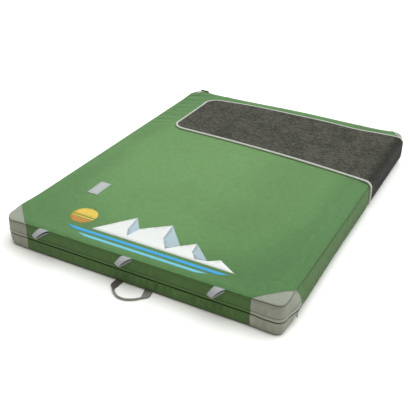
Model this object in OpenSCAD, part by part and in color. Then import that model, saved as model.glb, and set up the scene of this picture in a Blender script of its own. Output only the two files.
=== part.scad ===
// Bouldering crash pad, lying open and flat: a foam sandwich in a zipped textile cover that folds
// in half, with a carpet boot mat that doubles as its closure flap, closure straps and a carry
// harness on the underside of the back half.
//
// Origin at the centre of the underside. +X runs along the near edge, +Y towards the far edge,
// +Z up. "Front" is the half at -Y, "back" the half at +Y. The fold line is y = 0.

/* [Pad] */
// Width of the open pad, along X
pad_w = 1000; // [960:5:1100]
// Length of the open pad, along Y
pad_l = 1330; // [1300:5:1450]
// Overall thickness
pad_h = 104; // [100:1:125]
// Radius of the corners, seen from above
corner_r = 32; // [20:1:50]
// Thickness of the cover fabric
skin = 1.2; // [0.8:0.1:1.5]
// Thickness of the closed-cell top foam
top_foam_t = 15; // [10:1:20]
// Thickness of the closed-cell base foam
base_foam_t = 14; // [13:1:20]
// Height of the zip above the ground
zip_z = 47.5; // [44:0.5:55]

/* [Corner patches] */
// Length of a corner patch along each wall
patch_leg = 98; // [70:1:120]
// Leg of a near corner's triangle on the top panel
near_patch_top = 94; // [60:1:110]
// Leg of a far corner's triangle on the top panel
far_patch_top = 62; // [40:1:70]
// Thickness of the patch fabric
patch_t = 0.8; // [0.5:0.1:1]

/* [Webbing] */
// Thickness of the webbing
web_t = 1.8; // [1.4:0.1:2]
// Width of a near closure loop
loop_w = 35; // [25:1:40]
// Reach of a closure loop out of the seam
loop_reach = 39; // [34:1:45]
// Distance between neighbouring closure loops
loop_pitch = 315; // [260:5:335]
// Width of a closure strap
strap_w = 25; // [20:1:30]
// Width of the carry handle's webbing
handle_web_w = 31; // [25:1:38]
// Outer radius of the carry handle's bow
handle_r = 71.5; // [65:0.5:90]

/* [Boot mat] */
// Thickness of the carpet
mat_t = 7; // [5:0.5:9]
// Distance from the left edge of the pad to the left end of the mat
mat_left = 121; // [60:1:200]
// Radius of the two corners at the mat's left end
mat_corner_r = 55; // [30:1:70]
// Width of the mat's binding
binding_w = 11; // [8:0.5:14]

/* [Harness] */
// Depth of the recess in the base that the harness lies in
bay_d = 9.5; // [9:0.1:10]
// Length of a padded shoulder strap
shoulder_l = 380; // [340:5:400]
// Width of a padded shoulder strap
shoulder_w = 62; // [50:1:68]
// Thickness of the harness padding
padding_t = 8; // [6:0.5:8]
// Distance between the two shoulder straps' centre lines
shoulder_pitch = 150; // [130:5:170]

/* [Hidden] */
$fn = 48;
half_w = pad_w / 2;
half_l = pad_l / 2;
front = -1;
back = 1;
left = -1;
right = 1;
fold_gap = 1;
seam_gap = 0.1;
foam_inset = skin + 1;
zip_gap = 3;
coil_t = 0.9;
tape_t = 0.6;
tape_w = 22;

// Heights of the layers, from the ground up
base_foam_z = skin + seam_gap;
core_z = base_foam_z + base_foam_t + seam_gap;
top_cover_z = pad_h - skin;
top_foam_z = top_cover_z - seam_gap - top_foam_t;
wall_z0 = skin + seam_gap;
wall_z1 = top_cover_z - seam_gap;
patch_out = patch_t + seam_gap;

// Closure loops and straps
loop_x = -10;
seam_z = pad_h - 7;
loop_hinge_out = 3;
loop_tail = 1.5;
loop_droop = 10;
loop_gap_r = 4;
loop_r = loop_gap_r + web_t;
closure_x = [for (i = [-1:1]) loop_x + i * loop_pitch];
strap_out = 2;
strap_z = pad_h - 8;
strap_drop = 50;
eye_gap_r = 3;
eye_r = eye_gap_r + web_t;
hook_w = 34;
hook_t = 3;
hook_bar_r = 1.9;
hook_cheek_w = 3.5;
hook_slot = 9;
hook_drop = 28;
hook_gap_r = 4;
hook_lip = 12;

// Carry handle
handle_x = 7.5;
handle_z = 0.5;
handle_t = 3;
handle_leg = 8;
handle_bow_in = 14;

// Webbing tab at the far left corner
tab_w = 38;
tab_x = -half_w + 48.5;
tab_z0 = pad_h - 24;
tab_z1 = pad_h + 6;

// Label patch on the top panel
label_w = 41;
label_l = 87;
label_t = 1.5;
label_from_left = 148;
label_from_near = 265;

// Zip slider, parked on the right wall near the near right corner
slider_y = -half_l + 82;
slider_l = 12;
slider_h = 9;
slider_plate = 2.2;
slider_x = half_w + patch_out + 0.4;
pin_r = 0.9;
pin_out = 4.4;
puller_hole_r = 1.05;
puller_w = 6;
puller_l = 24;

// Boot mat: the far edge is straight, the near edge slants out towards the pad's right edge
mat_near_left = 226;
mat_near_right = 152;
mat_near_hem = 164;
mat_far = 604;
mat_gap = 0.3;
mat_z = pad_h + patch_out + mat_gap;
mat_x = half_w + patch_out + mat_gap;
hem_z = 9;

// Harness, in a recess of the base under the back half
bay_x0 = -385;
bay_x1 = 350;
bay_y0 = 150;
bay_y1 = 592;
harness_y = (bay_y0 + bay_y1) / 2;
harness_z1 = bay_d - 0.3;
shoulder_x0 = -350;
shoulder_x1 = shoulder_x0 + shoulder_l;
yoke_t = 1.6;
yoke_l = 24;
yoke_w = shoulder_pitch + shoulder_w + 6;
lock_l = 32;
lock_w = 36;
lock_t = 5;
anchor_x = 218;
anchor_l = 26;
anchor_w = 40;
belt_x = 296;
belt_w = 52;
belt_y_gap = 44;
belt_wing_l = 120;
belt_web_w = 30;
belt_web_l = 34;
buckle_l = 38;
buckle_w = 44;
buckle_t = 7.5;

// Arc of radius r that rounds corner b of the path a, b, c
function rounded(a, b, c, r, steps = 8) =
    let (
        u = (a - b) / norm(a - b),
        v = (c - b) / norm(c - b),
        half = acos(u * v) / 2,
        centre = b + (u + v) / norm(u + v) * r / sin(half),
        start = b + u * r / tan(half) - centre,
        turn = sign(cross(b - a, c - b)) * (180 - 2 * half)
    )
    [
        for (i = [0:steps])
            let (t = turn * i / steps)
            centre + [start.x * cos(t) - start.y * sin(t), start.x * sin(t) + start.y * cos(t)]
    ];

// The pad's rounded outline, drawn in by inset
module outline(inset) {
    r = corner_r - inset;
    x = half_w - corner_r;
    y = half_l - corner_r;
    square([2 * (x + r), 2 * y], center = true);
    square([2 * x, 2 * (y + r)], center = true);
    for (sx = [-1, 1], sy = [-1, 1])
        translate([sx * x, sy * y]) circle(r);
}

// Everything on one side of the fold line
module half_plane(side) {
    translate([-pad_w, side == back ? fold_gap / 2 : -pad_l])
        square([2 * pad_w, pad_l - fold_gap / 2]);
}

// One half's layer between two heights
module layer(side, z0, z1, inset) {
    translate([0, 0, z0])
        linear_extrude(z1 - z0)
            intersection() {
                outline(inset);
                half_plane(side);
            }
}

// One half's upright band, between two insets of the outline
module band(side, z0, z1, outer_inset, inner_inset) {
    translate([0, 0, z0])
        linear_extrude(z1 - z0)
            intersection() {
                difference() {
                    outline(outer_inset);
                    outline(inner_inset);
                }
                half_plane(side);
            }
}

// A box between two corners
module block(low, high) {
    translate(low) cube(high - low);
}

// A profile drawn in (y, z), w wide along X and centred on it
module along_x(w) {
    translate([-w / 2, 0, 0]) rotate([90, 0, 90]) linear_extrude(w) children();
}

// A flat capsule from x0 to x1
module capsule(x0, x1, r) {
    translate([x0, -r]) square([x1 - x0, 2 * r]);
    for (x = [x0, x1]) translate([x, 0]) circle(r);
}

module top_foam(side) {
    color("gainsboro") layer(side, top_foam_z, top_foam_z + top_foam_t, foam_inset);
}

module core_foam(side) {
    color("khaki") layer(side, core_z, top_foam_z - seam_gap, foam_inset);
}

module base_foam(side) {
    color("gainsboro")
        difference() {
            layer(side, base_foam_z, base_foam_z + base_foam_t, foam_inset);
            if (side == back) bay_block(skin + seam_gap);
        }
}

module top_cover(side) {
    color("seagreen") layer(side, top_cover_z, pad_h, 0);
}

// The recess that the harness lies in, grown by a wall thickness all round
module bay_block(grow) {
    block([bay_x0 - grow, bay_y0 - grow, -1], [bay_x1 + grow, bay_y1 + grow, bay_d + grow]);
}

module base_cover(side) {
    color("darkslategray")
        difference() {
            union() {
                layer(side, 0, skin, 0);
                if (side == back)
                    intersection() {
                        bay_block(skin);
                        layer(side, 0, bay_d + skin, 0);
                    }
            }
            if (side == back) bay_block(0);
        }
}

module upper_wall(side) {
    color("forestgreen") band(side, zip_z + zip_gap / 2, wall_z1, 0, skin);
}

module lower_wall(side) {
    color("darkgreen") band(side, wall_z0, zip_z - zip_gap / 2, 0, skin);
}

module zip_coil(side) {
    h = zip_gap / 2 - seam_gap;
    color("black") band(side, zip_z - h, zip_z + h, skin - coil_t, skin);
}

module zip_tape(side) {
    color("dimgray")
        band(side, zip_z - tape_w / 2, zip_z + tape_w / 2, skin + seam_gap, skin + seam_gap + tape_t);
}

// Slider body with two lugs and the puller's pin
module zip_slider() {
    lug_w = 2;
    color("dimgray") translate([slider_x, slider_y, zip_z]) {
        block([0, -slider_l / 2, -slider_h / 2], [slider_plate, slider_l / 2, slider_h / 2]);
        for (s = [-1, 1])
            translate([slider_plate - 0.1, s * (puller_w / 2 + 0.3 + lug_w / 2) - lug_w / 2, -2])
                cube([pin_out - slider_plate + 1.5, lug_w, 4]);
        translate([pin_out, 0, 0])
            rotate([90, 0, 0]) cylinder(r = pin_r, h = puller_w + 2 * lug_w, center = true);
    }
}

module zip_puller() {
    t = 1.4;
    color("silver") translate([slider_x + pin_out, slider_y, zip_z])
        difference() {
            union() {
                block([-t / 2, -puller_w / 2, -puller_l], [t / 2, puller_w / 2, 0]);
                rotate([90, 0, 0]) cylinder(r = 2, h = puller_w, center = true);
            }
            rotate([90, 0, 0]) cylinder(r = puller_hole_r, h = puller_w + 2, center = true);
        }
}

// The corner's square region, with sx and sy pointing to the corner
module corner_region(sx, sy, leg) {
    x = half_w + patch_out - leg;
    y = half_l + patch_out - leg;
    translate([sx > 0 ? x : -x - leg, sy > 0 ? y : -y - leg]) square(leg);
}

// The part of a corner patch that lies on the walls
module patch_wall(sx, sy, z0, z1) {
    translate([0, 0, z0])
        linear_extrude(z1 - z0)
            intersection() {
                difference() {
                    outline(-patch_out);
                    outline(-seam_gap);
                }
                corner_region(sx, sy, patch_leg + patch_out);
            }
}

// Upper patch: both walls and a triangle on the top panel
module patch_upper(sx, sy) {
    leg = sy == front ? near_patch_top : far_patch_top;
    top = pad_h + seam_gap;
    color("darkgray") {
        patch_wall(sx, sy, zip_z + zip_gap / 2, top + patch_t);
        translate([0, 0, top])
            linear_extrude(patch_t)
                intersection() {
                    outline(-patch_out);
                    translate([sx * half_w, sy * half_l])
                        polygon([
                            [sx * 2, sy * 2], [-sx * (leg + 2), sy * 2],
                            [-sx * (leg + 2), 0], [0, -sy * (leg + 2)], [sx * 2, -sy * (leg + 2)]
                        ]);
                }
    }
}

module patch_lower(sx, sy) {
    color("gray") patch_wall(sx, sy, wall_z0, zip_z - zip_gap / 2);
}

module label_patch() {
    x = -half_w + label_from_left;
    y = -half_l + label_from_near;
    color("silver") block([x, y, pad_h + seam_gap], [x + label_w, y + label_l, pad_h + label_t]);
}

// Doubled webbing loop on the near top seam, drooping a little
module closure_loop(i) {
    tip = -loop_reach + loop_r;
    color("silver")
        translate([closure_x[i], -half_l - loop_hinge_out, seam_z]) rotate([loop_droop, 0, 0])
            along_x(loop_w)
                difference() {
                    union() {
                        capsule(tip, -12, loop_r);
                        translate([-12, -web_t]) square([12 + loop_tail, 2 * web_t]);
                    }
                    capsule(tip, -13, loop_gap_r);
                }
}

// Bow of webbing that lies on the ground in front of the near wall
module carry_handle() {
    inner_r = handle_r - handle_web_w;
    color("dimgray")
        translate([handle_x, -half_l - 1.5, handle_z])
            linear_extrude(handle_t)
                difference() {
                    union() {
                        translate([-handle_r, -handle_leg]) square([2 * handle_r, handle_leg]);
                        translate([0, -handle_leg]) circle(handle_r);
                    }
                    translate([0, -handle_bow_in]) circle(inner_r);
                    translate([-inner_r, -handle_bow_in]) square([2 * inner_r, 2 * handle_r]);
                    translate([-2 * handle_r, 0]) square(4 * handle_r);
                }
}

// Doubled webbing tab standing up at the far left corner
module corner_tab() {
    color("darkslategray")
        block(
            [tab_x - tab_w / 2, half_l + patch_out + seam_gap, tab_z0],
            [tab_x + tab_w / 2, half_l + patch_out + seam_gap + 2 * web_t, tab_z1]
        );
}

// Strap that hangs down the far wall, with an eye for its hook
module closure_strap(i) {
    color("dimgray")
        translate([closure_x[i], half_l + strap_out, strap_z])
            along_x(strap_w)
                difference() {
                    union() {
                        translate([-web_t / 2, -strap_drop]) square([web_t, strap_drop + 0.5]);
                        translate([eye_r - web_t / 2, -strap_drop]) circle(eye_r);
                    }
                    translate([eye_r - web_t / 2, -strap_drop]) circle(eye_gap_r);
                }
}

// Flat metal hook: bar in the strap's eye, two cheeks, a plate and a J-shaped lip
module closure_hook(i) {
    bend = hook_gap_r + hook_t / 2;
    color("silver")
        translate([closure_x[i], half_l + strap_out + eye_r - web_t / 2, strap_z - strap_drop]) {
            rotate([0, 90, 0]) cylinder(r = hook_bar_r, h = hook_w, center = true);
            for (s = [-1, 1])
                translate([s * (hook_w - hook_cheek_w) / 2, 0, -(hook_slot + 1) / 2])
                    cube([hook_cheek_w, hook_t, hook_slot + 1], center = true);
            along_x(hook_w) {
                translate([-hook_t / 2, -hook_drop]) square([hook_t, hook_drop - hook_slot]);
                translate([bend, -hook_drop])
                    intersection() {
                        difference() {
                            circle(hook_gap_r + hook_t);
                            circle(hook_gap_r);
                        }
                        translate([-hook_drop, -2 * hook_drop]) square(2 * hook_drop);
                    }
                translate([bend + hook_gap_r, -hook_drop]) square([hook_t, hook_lip]);
            }
        }
}

// Outline of the mat's top panel, with its three free edges drawn in by inset
module mat_top_outline(inset) {
    near_right = [half_w, mat_near_right + inset];
    near_left = [-half_w + mat_left + inset, mat_near_left + inset];
    far_left = [-half_w + mat_left + inset, mat_far - inset];
    far_right = [half_w, mat_far - inset];
    r = mat_corner_r - inset;
    polygon(concat(
        [near_right],
        rounded(near_right, near_left, far_left, r),
        rounded(near_left, far_left, far_right, r),
        [far_right]
    ));
}

// Outline of the mat's side panel in (y, z), with its two free edges drawn in by inset
module mat_side_outline(inset) {
    z0 = hem_z + mat_gap;
    z1 = mat_z - mat_gap;
    polygon([
        [mat_near_hem + inset, z0], [mat_far - inset, z0],
        [mat_far - inset, z1], [mat_near_right + inset, z1]
    ]);
}

module mat_top() {
    color([0.27, 0.27, 0.25]) translate([0, 0, mat_z])
        linear_extrude(mat_t) mat_top_outline(binding_w);
}

module mat_top_binding() {
    color([0.68, 0.7, 0.66]) translate([0, 0, mat_z])
        linear_extrude(mat_t)
            difference() {
                mat_top_outline(0);
                mat_top_outline(binding_w);
            }
}

module mat_side() {
    color([0.27, 0.27, 0.25]) translate([mat_x + mat_t / 2, 0, 0])
        along_x(mat_t) mat_side_outline(binding_w);
}

module mat_side_binding() {
    color([0.68, 0.7, 0.66]) translate([mat_x + mat_t / 2, 0, 0])
        along_x(mat_t)
            difference() {
                mat_side_outline(0);
                mat_side_outline(binding_w);
            }
}

// Strip that sews the mat to the pad's bottom edge
module mat_hem() {
    color([0.3, 0.3, 0.28])
        block([mat_x - 0.2, mat_near_hem, wall_z0], [mat_x + mat_t, mat_far, hem_z]);
}

// Y of a shoulder strap's centre line
function shoulder_y(side) = harness_y + side * shoulder_pitch / 2;

module harness_yoke() {
    color("dimgray")
        block(
            [shoulder_x0 - yoke_l - 2, harness_y - yoke_w / 2, bay_d - yoke_t],
            [shoulder_x0 - 2, harness_y + yoke_w / 2, bay_d - seam_gap]
        );
}

// Padded strap with a rounded end
module shoulder_pad(side) {
    r = shoulder_w / 2;
    color([0.2, 0.22, 0.2])
        translate([shoulder_x0 + 0.3, shoulder_y(side), harness_z1 - padding_t])
            linear_extrude(padding_t) {
                translate([0, -r]) square([shoulder_l - r, shoulder_w]);
                translate([shoulder_l - r, 0]) circle(r);
            }
}

// Three-bar buckle at the end of a shoulder strap
module ladder_lock(side) {
    bar = 4;
    slot = (lock_l - 4 * bar) / 3;
    color([0.12, 0.12, 0.12])
        translate([shoulder_x1 + 0.6, shoulder_y(side) - lock_w / 2, harness_z1 - lock_t - 1])
            difference() {
                cube([lock_l, lock_w, lock_t]);
                for (i = [0:2])
                    translate([bar + i * (bar + slot), bar, -1])
                        cube([slot, lock_w - 2 * bar, lock_t + 2]);
            }
}

module adjuster_webbing(side) {
    x0 = shoulder_x1 + lock_l + 0.9;
    z = harness_z1 - 3;
    color([0.25, 0.26, 0.24])
        block(
            [x0, shoulder_y(side) - strap_w / 2, z - web_t],
            [anchor_x - 0.5, shoulder_y(side) + strap_w / 2, z]
        );
}

module lower_anchors() {
    color([0.25, 0.26, 0.24])
        for (side = [left, right])
            block(
                [anchor_x, shoulder_y(side) - anchor_w / 2, harness_z1 - 4],
                [anchor_x + anchor_l, shoulder_y(side) + anchor_w / 2, bay_d - seam_gap]
            );
}

// Places a belt half's pieces: children point away from the belt's middle, along their +Y
module belt_half(side) {
    translate([belt_x, harness_y + side * belt_y_gap / 2, harness_z1])
        mirror([0, side == left ? 1 : 0, 0]) children();
}

module belt_wing(side) {
    r = belt_w / 2;
    color([0.2, 0.22, 0.2])
        belt_half(side)
            translate([0, 0, -padding_t])
                linear_extrude(padding_t) {
                    translate([-r, 0.3]) square([belt_w, belt_wing_l - r]);
                    translate([0, belt_wing_l - r]) circle(r);
                }
}

module belt_webbing(side) {
    y0 = belt_wing_l + 0.6;
    color([0.25, 0.26, 0.24])
        belt_half(side)
            block([-belt_web_w / 2, y0, -5], [belt_web_w / 2, y0 + belt_web_l, -5 + web_t]);
}

// Outer end of the belt webbing, where its buckle half starts
function buckle_y() = belt_wing_l + belt_web_l + 0.9;

module belt_buckle_male() {
    prong_w = 7;
    base_l = 14;
    color([0.12, 0.12, 0.12])
        belt_half(left) translate([0, buckle_y(), -buckle_t]) {
            block([-buckle_w / 2, 0, 0], [buckle_w / 2, base_l, buckle_t]);
            for (x = [-1, 0, 1])
                translate([x * (buckle_w / 2 - prong_w), base_l - 0.1, 2])
                    translate([-prong_w / 2, 0, 0]) cube([prong_w, buckle_l - base_l, 3.5]);
        }
}

module belt_buckle_female() {
    wall = 2;
    color([0.12, 0.12, 0.12])
        belt_half(right) translate([0, buckle_y(), -buckle_t])
            difference() {
                block([-buckle_w / 2, 0, 0], [buckle_w / 2, buckle_l, buckle_t]);
                translate([-buckle_w / 2 + wall, wall + 8, 1.2])
                    cube([buckle_w - 2 * wall, buckle_l, buckle_t - 2.4]);
            }
}

top_foam(front);  // front_top_foam
core_foam(front);  // front_core_foam
base_foam(front);  // front_base_foam
top_foam(back);  // back_top_foam
core_foam(back);  // back_core_foam
base_foam(back);  // back_base_foam
top_cover(front);  // front_top_cover
base_cover(front);  // front_base_cover
top_cover(back);  // back_top_cover
base_cover(back);  // back_base_cover
upper_wall(front);  // front_upper_wall
lower_wall(front);  // front_lower_wall
upper_wall(back);  // back_upper_wall
lower_wall(back);  // back_lower_wall
zip_coil(front);  // front_zip_coil
zip_coil(back);  // back_zip_coil
zip_tape(front);  // front_zip_tape
zip_tape(back);  // back_zip_tape
zip_slider();
zip_puller();
patch_upper(left, front);  // near_left_patch_upper
patch_lower(left, front);  // near_left_patch_lower
patch_upper(right, front);  // near_right_patch_upper
patch_lower(right, front);  // near_right_patch_lower
patch_upper(left, back);  // far_left_patch_upper
patch_lower(left, back);  // far_left_patch_lower
patch_upper(right, back);  // far_right_patch_upper
patch_lower(right, back);  // far_right_patch_lower
label_patch();
carry_handle();
corner_tab();
closure_loop(0);  // closure_loop_left
closure_loop(1);  // closure_loop_middle
closure_loop(2);  // closure_loop_right
closure_strap(0);  // closure_strap_left
closure_strap(1);  // closure_strap_middle
closure_strap(2);  // closure_strap_right
closure_hook(0);  // closure_hook_left
closure_hook(1);  // closure_hook_middle
closure_hook(2);  // closure_hook_right
mat_top();
mat_side();
mat_hem();
mat_top_binding();
mat_side_binding();
harness_yoke();
lower_anchors();
shoulder_pad(left);  // shoulder_pad_left
shoulder_pad(right);  // shoulder_pad_right
ladder_lock(left);  // ladder_lock_left
ladder_lock(right);  // ladder_lock_right
adjuster_webbing(left);  // adjuster_webbing_left
adjuster_webbing(right);  // adjuster_webbing_right
belt_wing(left);  // belt_wing_left
belt_wing(right);  // belt_wing_right
belt_webbing(left);  // belt_webbing_left
belt_webbing(right);  // belt_webbing_right
belt_buckle_male();
belt_buckle_female();
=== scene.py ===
import math

import bmesh
import bpy
import numpy as np
from mathutils import Matrix, Vector, noise
from mathutils.bvhtree import BVHTree


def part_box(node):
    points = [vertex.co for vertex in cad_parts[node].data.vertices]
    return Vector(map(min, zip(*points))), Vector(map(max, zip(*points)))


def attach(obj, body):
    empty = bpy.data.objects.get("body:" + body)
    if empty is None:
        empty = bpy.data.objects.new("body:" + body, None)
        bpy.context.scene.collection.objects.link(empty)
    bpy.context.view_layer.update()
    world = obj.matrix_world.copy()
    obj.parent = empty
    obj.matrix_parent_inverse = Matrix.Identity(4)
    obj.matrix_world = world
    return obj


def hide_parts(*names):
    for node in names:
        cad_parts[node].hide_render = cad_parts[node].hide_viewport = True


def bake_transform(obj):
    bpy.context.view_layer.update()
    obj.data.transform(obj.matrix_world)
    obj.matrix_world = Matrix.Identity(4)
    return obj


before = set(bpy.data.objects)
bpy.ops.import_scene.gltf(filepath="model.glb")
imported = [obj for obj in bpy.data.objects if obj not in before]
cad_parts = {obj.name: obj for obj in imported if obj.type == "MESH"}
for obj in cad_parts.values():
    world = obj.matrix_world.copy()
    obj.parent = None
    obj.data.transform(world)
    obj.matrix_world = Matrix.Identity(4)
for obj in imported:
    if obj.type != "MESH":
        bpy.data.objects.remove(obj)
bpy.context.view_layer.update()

MM = 0.001
TINY = 0.01 * MM

# ---- sizes, in metres

HALF_W, HALF_L, PAD_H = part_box("back_top_cover")[1]
ZIP_Z = sum(corner[2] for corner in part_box("front_zip_coil")) / 2
PATCH_LEG = HALF_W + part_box("near_left_patch_lower")[1][0]
PATCH_SLANT = 0.25
NEAR_TRIANGLE = 94 * MM
FAR_TRIANGLE = 62 * MM
FABRIC_T = 1.2 * MM
# Plan radius of each corner, given as (side, end), at the top and at the base
TOP_CORNERS = {(-1, -1): 44 * MM, (1, -1): 24 * MM, (1, 1): 64 * MM, (-1, 1): 64 * MM}
BASE_CORNERS = {(-1, -1): 48 * MM, (1, -1): 22 * MM, (1, 1): 66 * MM, (-1, 1): 64 * MM}
TOP_R = 5 * MM
SHOULDER = 20 * MM
BASE_R = 20 * MM
RIGHT_BASE_R = 34 * MM
TOP_SEAM = PAD_H - 4 * MM
TOP_STITCH = PAD_H - 11 * MM
FLAP_STITCH = ZIP_Z + 13 * MM
BASE_SEAM = 3 * MM
ZIP_HALF = 0.7 * MM
MAT_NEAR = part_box("mat_side_binding")[0][1]
# Length of the handle's webbing
HANDLE_RUN = 290 * MM
ALONG_X, ALONG_Y = Vector((1, 0, 0)), Vector((0, 1, 0))
WHITE = (1, 1, 1)

# ---- small helpers


def smooth(t):
    t = np.clip(t, 0, 1)
    return t * t * (3 - 2 * t)


def rise(v, start, run):
    """0 up to start, then rising smoothly to 1 over run."""
    return smooth((v - start) / run)


def window(v, low, high, soft):
    """1 from low to high, falling smoothly to 0 over soft outside them."""
    return rise(v, low - soft, soft) * rise(-v, -high - soft, soft)


def bell(v, centre, width):
    return np.exp(-(((v - centre) / width) ** 2))


def noise_at(points, scale, offset=0.0):
    """Smooth noise from -1 to 1 at points, given as rows in metres, with features 1/scale apart."""
    shift = Vector((offset, offset, offset))
    return np.array([noise.noise(Vector(p) * scale + shift) for p in points])


def rows_of(values, key="vector"):
    """A vector for each vertex, as rows."""
    flat = np.empty(len(values) * 3, np.float32)
    values.foreach_get(key, flat)
    return flat.reshape(-1, 3).astype(float)


def coordinates(mesh):
    return rows_of(mesh.vertices, "co")


def store(mesh, name, rows):
    """Keeps a vector for each vertex, so that a material can read it."""
    made = mesh.attributes.get(name) or mesh.attributes.new(name, "FLOAT_VECTOR", "POINT")
    made.data.foreach_set("vector", np.asarray(rows, np.float32).ravel())


def vectors_of(mesh, name):
    return rows_of(mesh.attributes[name].data)


def middle_of(node_name):
    """The middle of a CAD node's box."""
    low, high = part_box(node_name)
    return [(a + b) / 2 for a, b in zip(low, high)]


def piece(name, verts, faces, mat, weave=None, flat=False):
    """A mesh object that remembers where its fabric lay at rest."""
    mesh = bpy.data.meshes.new(name)
    mesh.from_pydata([tuple(v) for v in verts], [], faces)
    mesh.polygons.foreach_set("use_smooth", [not flat] * len(mesh.polygons))
    mesh.materials.append(mat)
    store(mesh, "rest", coordinates(mesh))
    if weave is not None:
        store(mesh, "weave", weave)
    made = bpy.data.objects.new(name, mesh)
    bpy.context.scene.collection.objects.link(made)
    return made


def thicken(obj, thickness):
    """Gives a sheet its thickness, inwards."""
    made = obj.modifiers.new("thickness", "SOLIDIFY")
    made.thickness = thickness
    made.offset = -1
    return obj


def spline(points, steps):
    """A smooth curve through points, with steps pieces between neighbours."""
    points = [Vector(p) for p in points]
    ends = [points[0] * 2 - points[1]] + points + [points[-1] * 2 - points[-2]]
    curve = []
    for a, b, c, d in zip(ends, ends[1:], ends[2:], ends[3:]):
        for i in range(steps):
            t = i / steps
            curve.append(
                0.5 * (2 * b + (c - a) * t + (2 * a - 5 * b + 4 * c - d) * t**2
                       + (3 * b - a - 3 * c + d) * t**3)
            )
    return curve + [points[-1]]


def directions(path):
    """Unit tangent at each point of an open path."""
    ahead = [b - a for a, b in zip(path, path[1:])]
    joined = [ahead[0]] + [a + b for a, b in zip(ahead, ahead[1:])] + [ahead[-1]]
    return [v.normalized() for v in joined]


def turned(faces):
    """The same faces, seen from their other side."""
    return [face[:1] + face[:0:-1] for face in faces]


def grid_faces(rows, cols, first=0):
    """Quads over a grid of vertices that has rows by cols cells."""
    n = cols + 1
    starts = [first + i * n + j for i in range(rows) for j in range(cols)]
    return [(a, a + n, a + n + 1, a + 1) for a in starts]


def slab_faces(rows, cols):
    """Faces of a closed slab, whose vertices are a grid for its upper side and then one for its lower."""
    n, size = cols + 1, (rows + 1) * (cols + 1)
    faces = grid_faces(rows, cols) + turned(grid_faces(rows, cols, size))
    for a in range(0, rows * n, n):
        b = a + cols
        faces += [(a, size + a, size + a + n, a + n), (b + n, size + b + n, size + b, b)]
    for a in range(cols):
        b = a + rows * n
        faces += [(a, a + 1, size + a + 1, size + a), (size + b, size + b + 1, b + 1, b)]
    return faces


def tube_faces(rings, n, first=0, closed=False):
    """Faces of a tube through rings of n vertices. It closes on itself, or has two flat ends."""
    faces = []
    for i in range(rings if closed else rings - 1):
        a, b = first + i * n, first + (i + 1) % rings * n
        faces += [(a + k, a + (k + 1) % n, b + (k + 1) % n, b + k) for k in range(n)]
    if not closed:
        last = first + (rings - 1) * n
        faces += [tuple(range(first, first + n))[::-1], tuple(range(last, last + n))]
    return faces


# Half cross-section of webbing, as parts of half its width and half its thickness
WEB_PROFILE = (
    (-1, 0), (-0.97, 0.7), (-0.5, 1), (0, 1.05), (0.5, 1), (0.97, 0.7),
    (1, 0), (0.97, -0.7), (0.5, -1), (0, -1.05), (-0.5, -1), (-0.97, -0.7),
)


def band(name, path, across, width, thickness, mat):
    """Flat webbing along path. across is its width direction. Sizes are one value, or one a point."""
    across, widths, depths = (
        value if isinstance(value, list) else [value] * len(path) for value in (across, width, thickness))
    verts, weave, length = [], [], 0.0
    for i, (centre, along, side, w, t) in enumerate(zip(path, directions(path), across, widths, depths)):
        side = (side - along * side.dot(along)).normalized()
        up = side.cross(along).normalized()
        length += (centre - path[i - 1]).length if i else 0
        for a, b in WEB_PROFILE:
            verts.append(centre + side * (a * w / 2) + up * (b * t / 2))
            weave.append((a * w / 2, length, b * t / 2))
    return piece(name, verts, tube_faces(len(path), len(WEB_PROFILE)), mat, weave)


def stitches(name, run, mat, pitch=4.5 * MM, length=3.0 * MM, width=0.9 * MM):
    """A row of small raised stitches. run is a closed list of (point, normal) along the seam."""
    verts, faces, carried = [], [], 0.0
    for (a, up), (b, _) in zip(run, run[1:] + run[:1]):
        gap = (b - a).length
        if gap < 1e-7:
            continue
        along = (b - a) / gap
        side = up.cross(along).normalized() * (width / 2)
        half = along * (length / 2)
        place = pitch - carried
        while place <= gap:
            centre = a + along * place
            k = len(verts)
            verts += [centre - half, centre + side, centre + half, centre - side,
                      centre + up * (width * 0.5), centre - up * (width * 0.5)]
            for i in range(4):
                j = (i + 1) % 4
                faces += [(k + i, k + j, k + 4), (k + j, k + i, k + 5)]
            place += pitch
        carried = gap - (place - pitch)
    return piece(name, verts, faces, mat)


def stands_for(made, slot, *nodes):
    """Hides the CAD nodes that a piece takes the place of, and returns the piece; slot is not used."""
    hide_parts(*nodes)
    return made


def across_fold(made):
    """Bakes a piece's transform into its mesh."""
    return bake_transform(made)


# ---- materials


def node(mat, kind, links=None, **settings):
    """Adds a shader node, connects or sets its inputs, and returns its outputs."""
    made = mat.node_tree.nodes.new("ShaderNode" + kind)
    for key, value in settings.items():
        setattr(made, key, value)
    for socket, value in (links or {}).items():
        if isinstance(value, bpy.types.NodeSocket):
            mat.node_tree.links.new(value, made.inputs[socket])
        else:
            made.inputs[socket].default_value = value
    return made.outputs


def new_material(name, **sockets):
    mat = bpy.data.materials.new(name)
    mat.use_nodes = True
    shader = mat.node_tree.nodes["Principled BSDF"]
    for socket, value in sockets.items():
        shader.inputs[socket.replace("_", " ")].default_value = value
    return mat


def connect(mat, socket, output):
    mat.node_tree.links.new(output, mat.node_tree.nodes["Principled BSDF"].inputs[socket])


def place_of(mat, attribute):
    """Where a point of the surface lay at rest, or its object coordinates for a CAD node."""
    if attribute:
        return node(mat, "Attribute", attribute_name=attribute)["Vector"]
    return node(mat, "TexCoord")["Object"]


def axis_of(mat, attribute, axis):
    return node(mat, "SeparateXYZ", {"Vector": place_of(mat, attribute)})[axis]


def math_node(mat, operation, a, b=0.0):
    return node(mat, "Math", {0: a, 1: b}, operation=operation)[0]


def away_from(mat, value, centre):
    return math_node(mat, "ABSOLUTE", math_node(mat, "SUBTRACT", value, centre))


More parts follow.
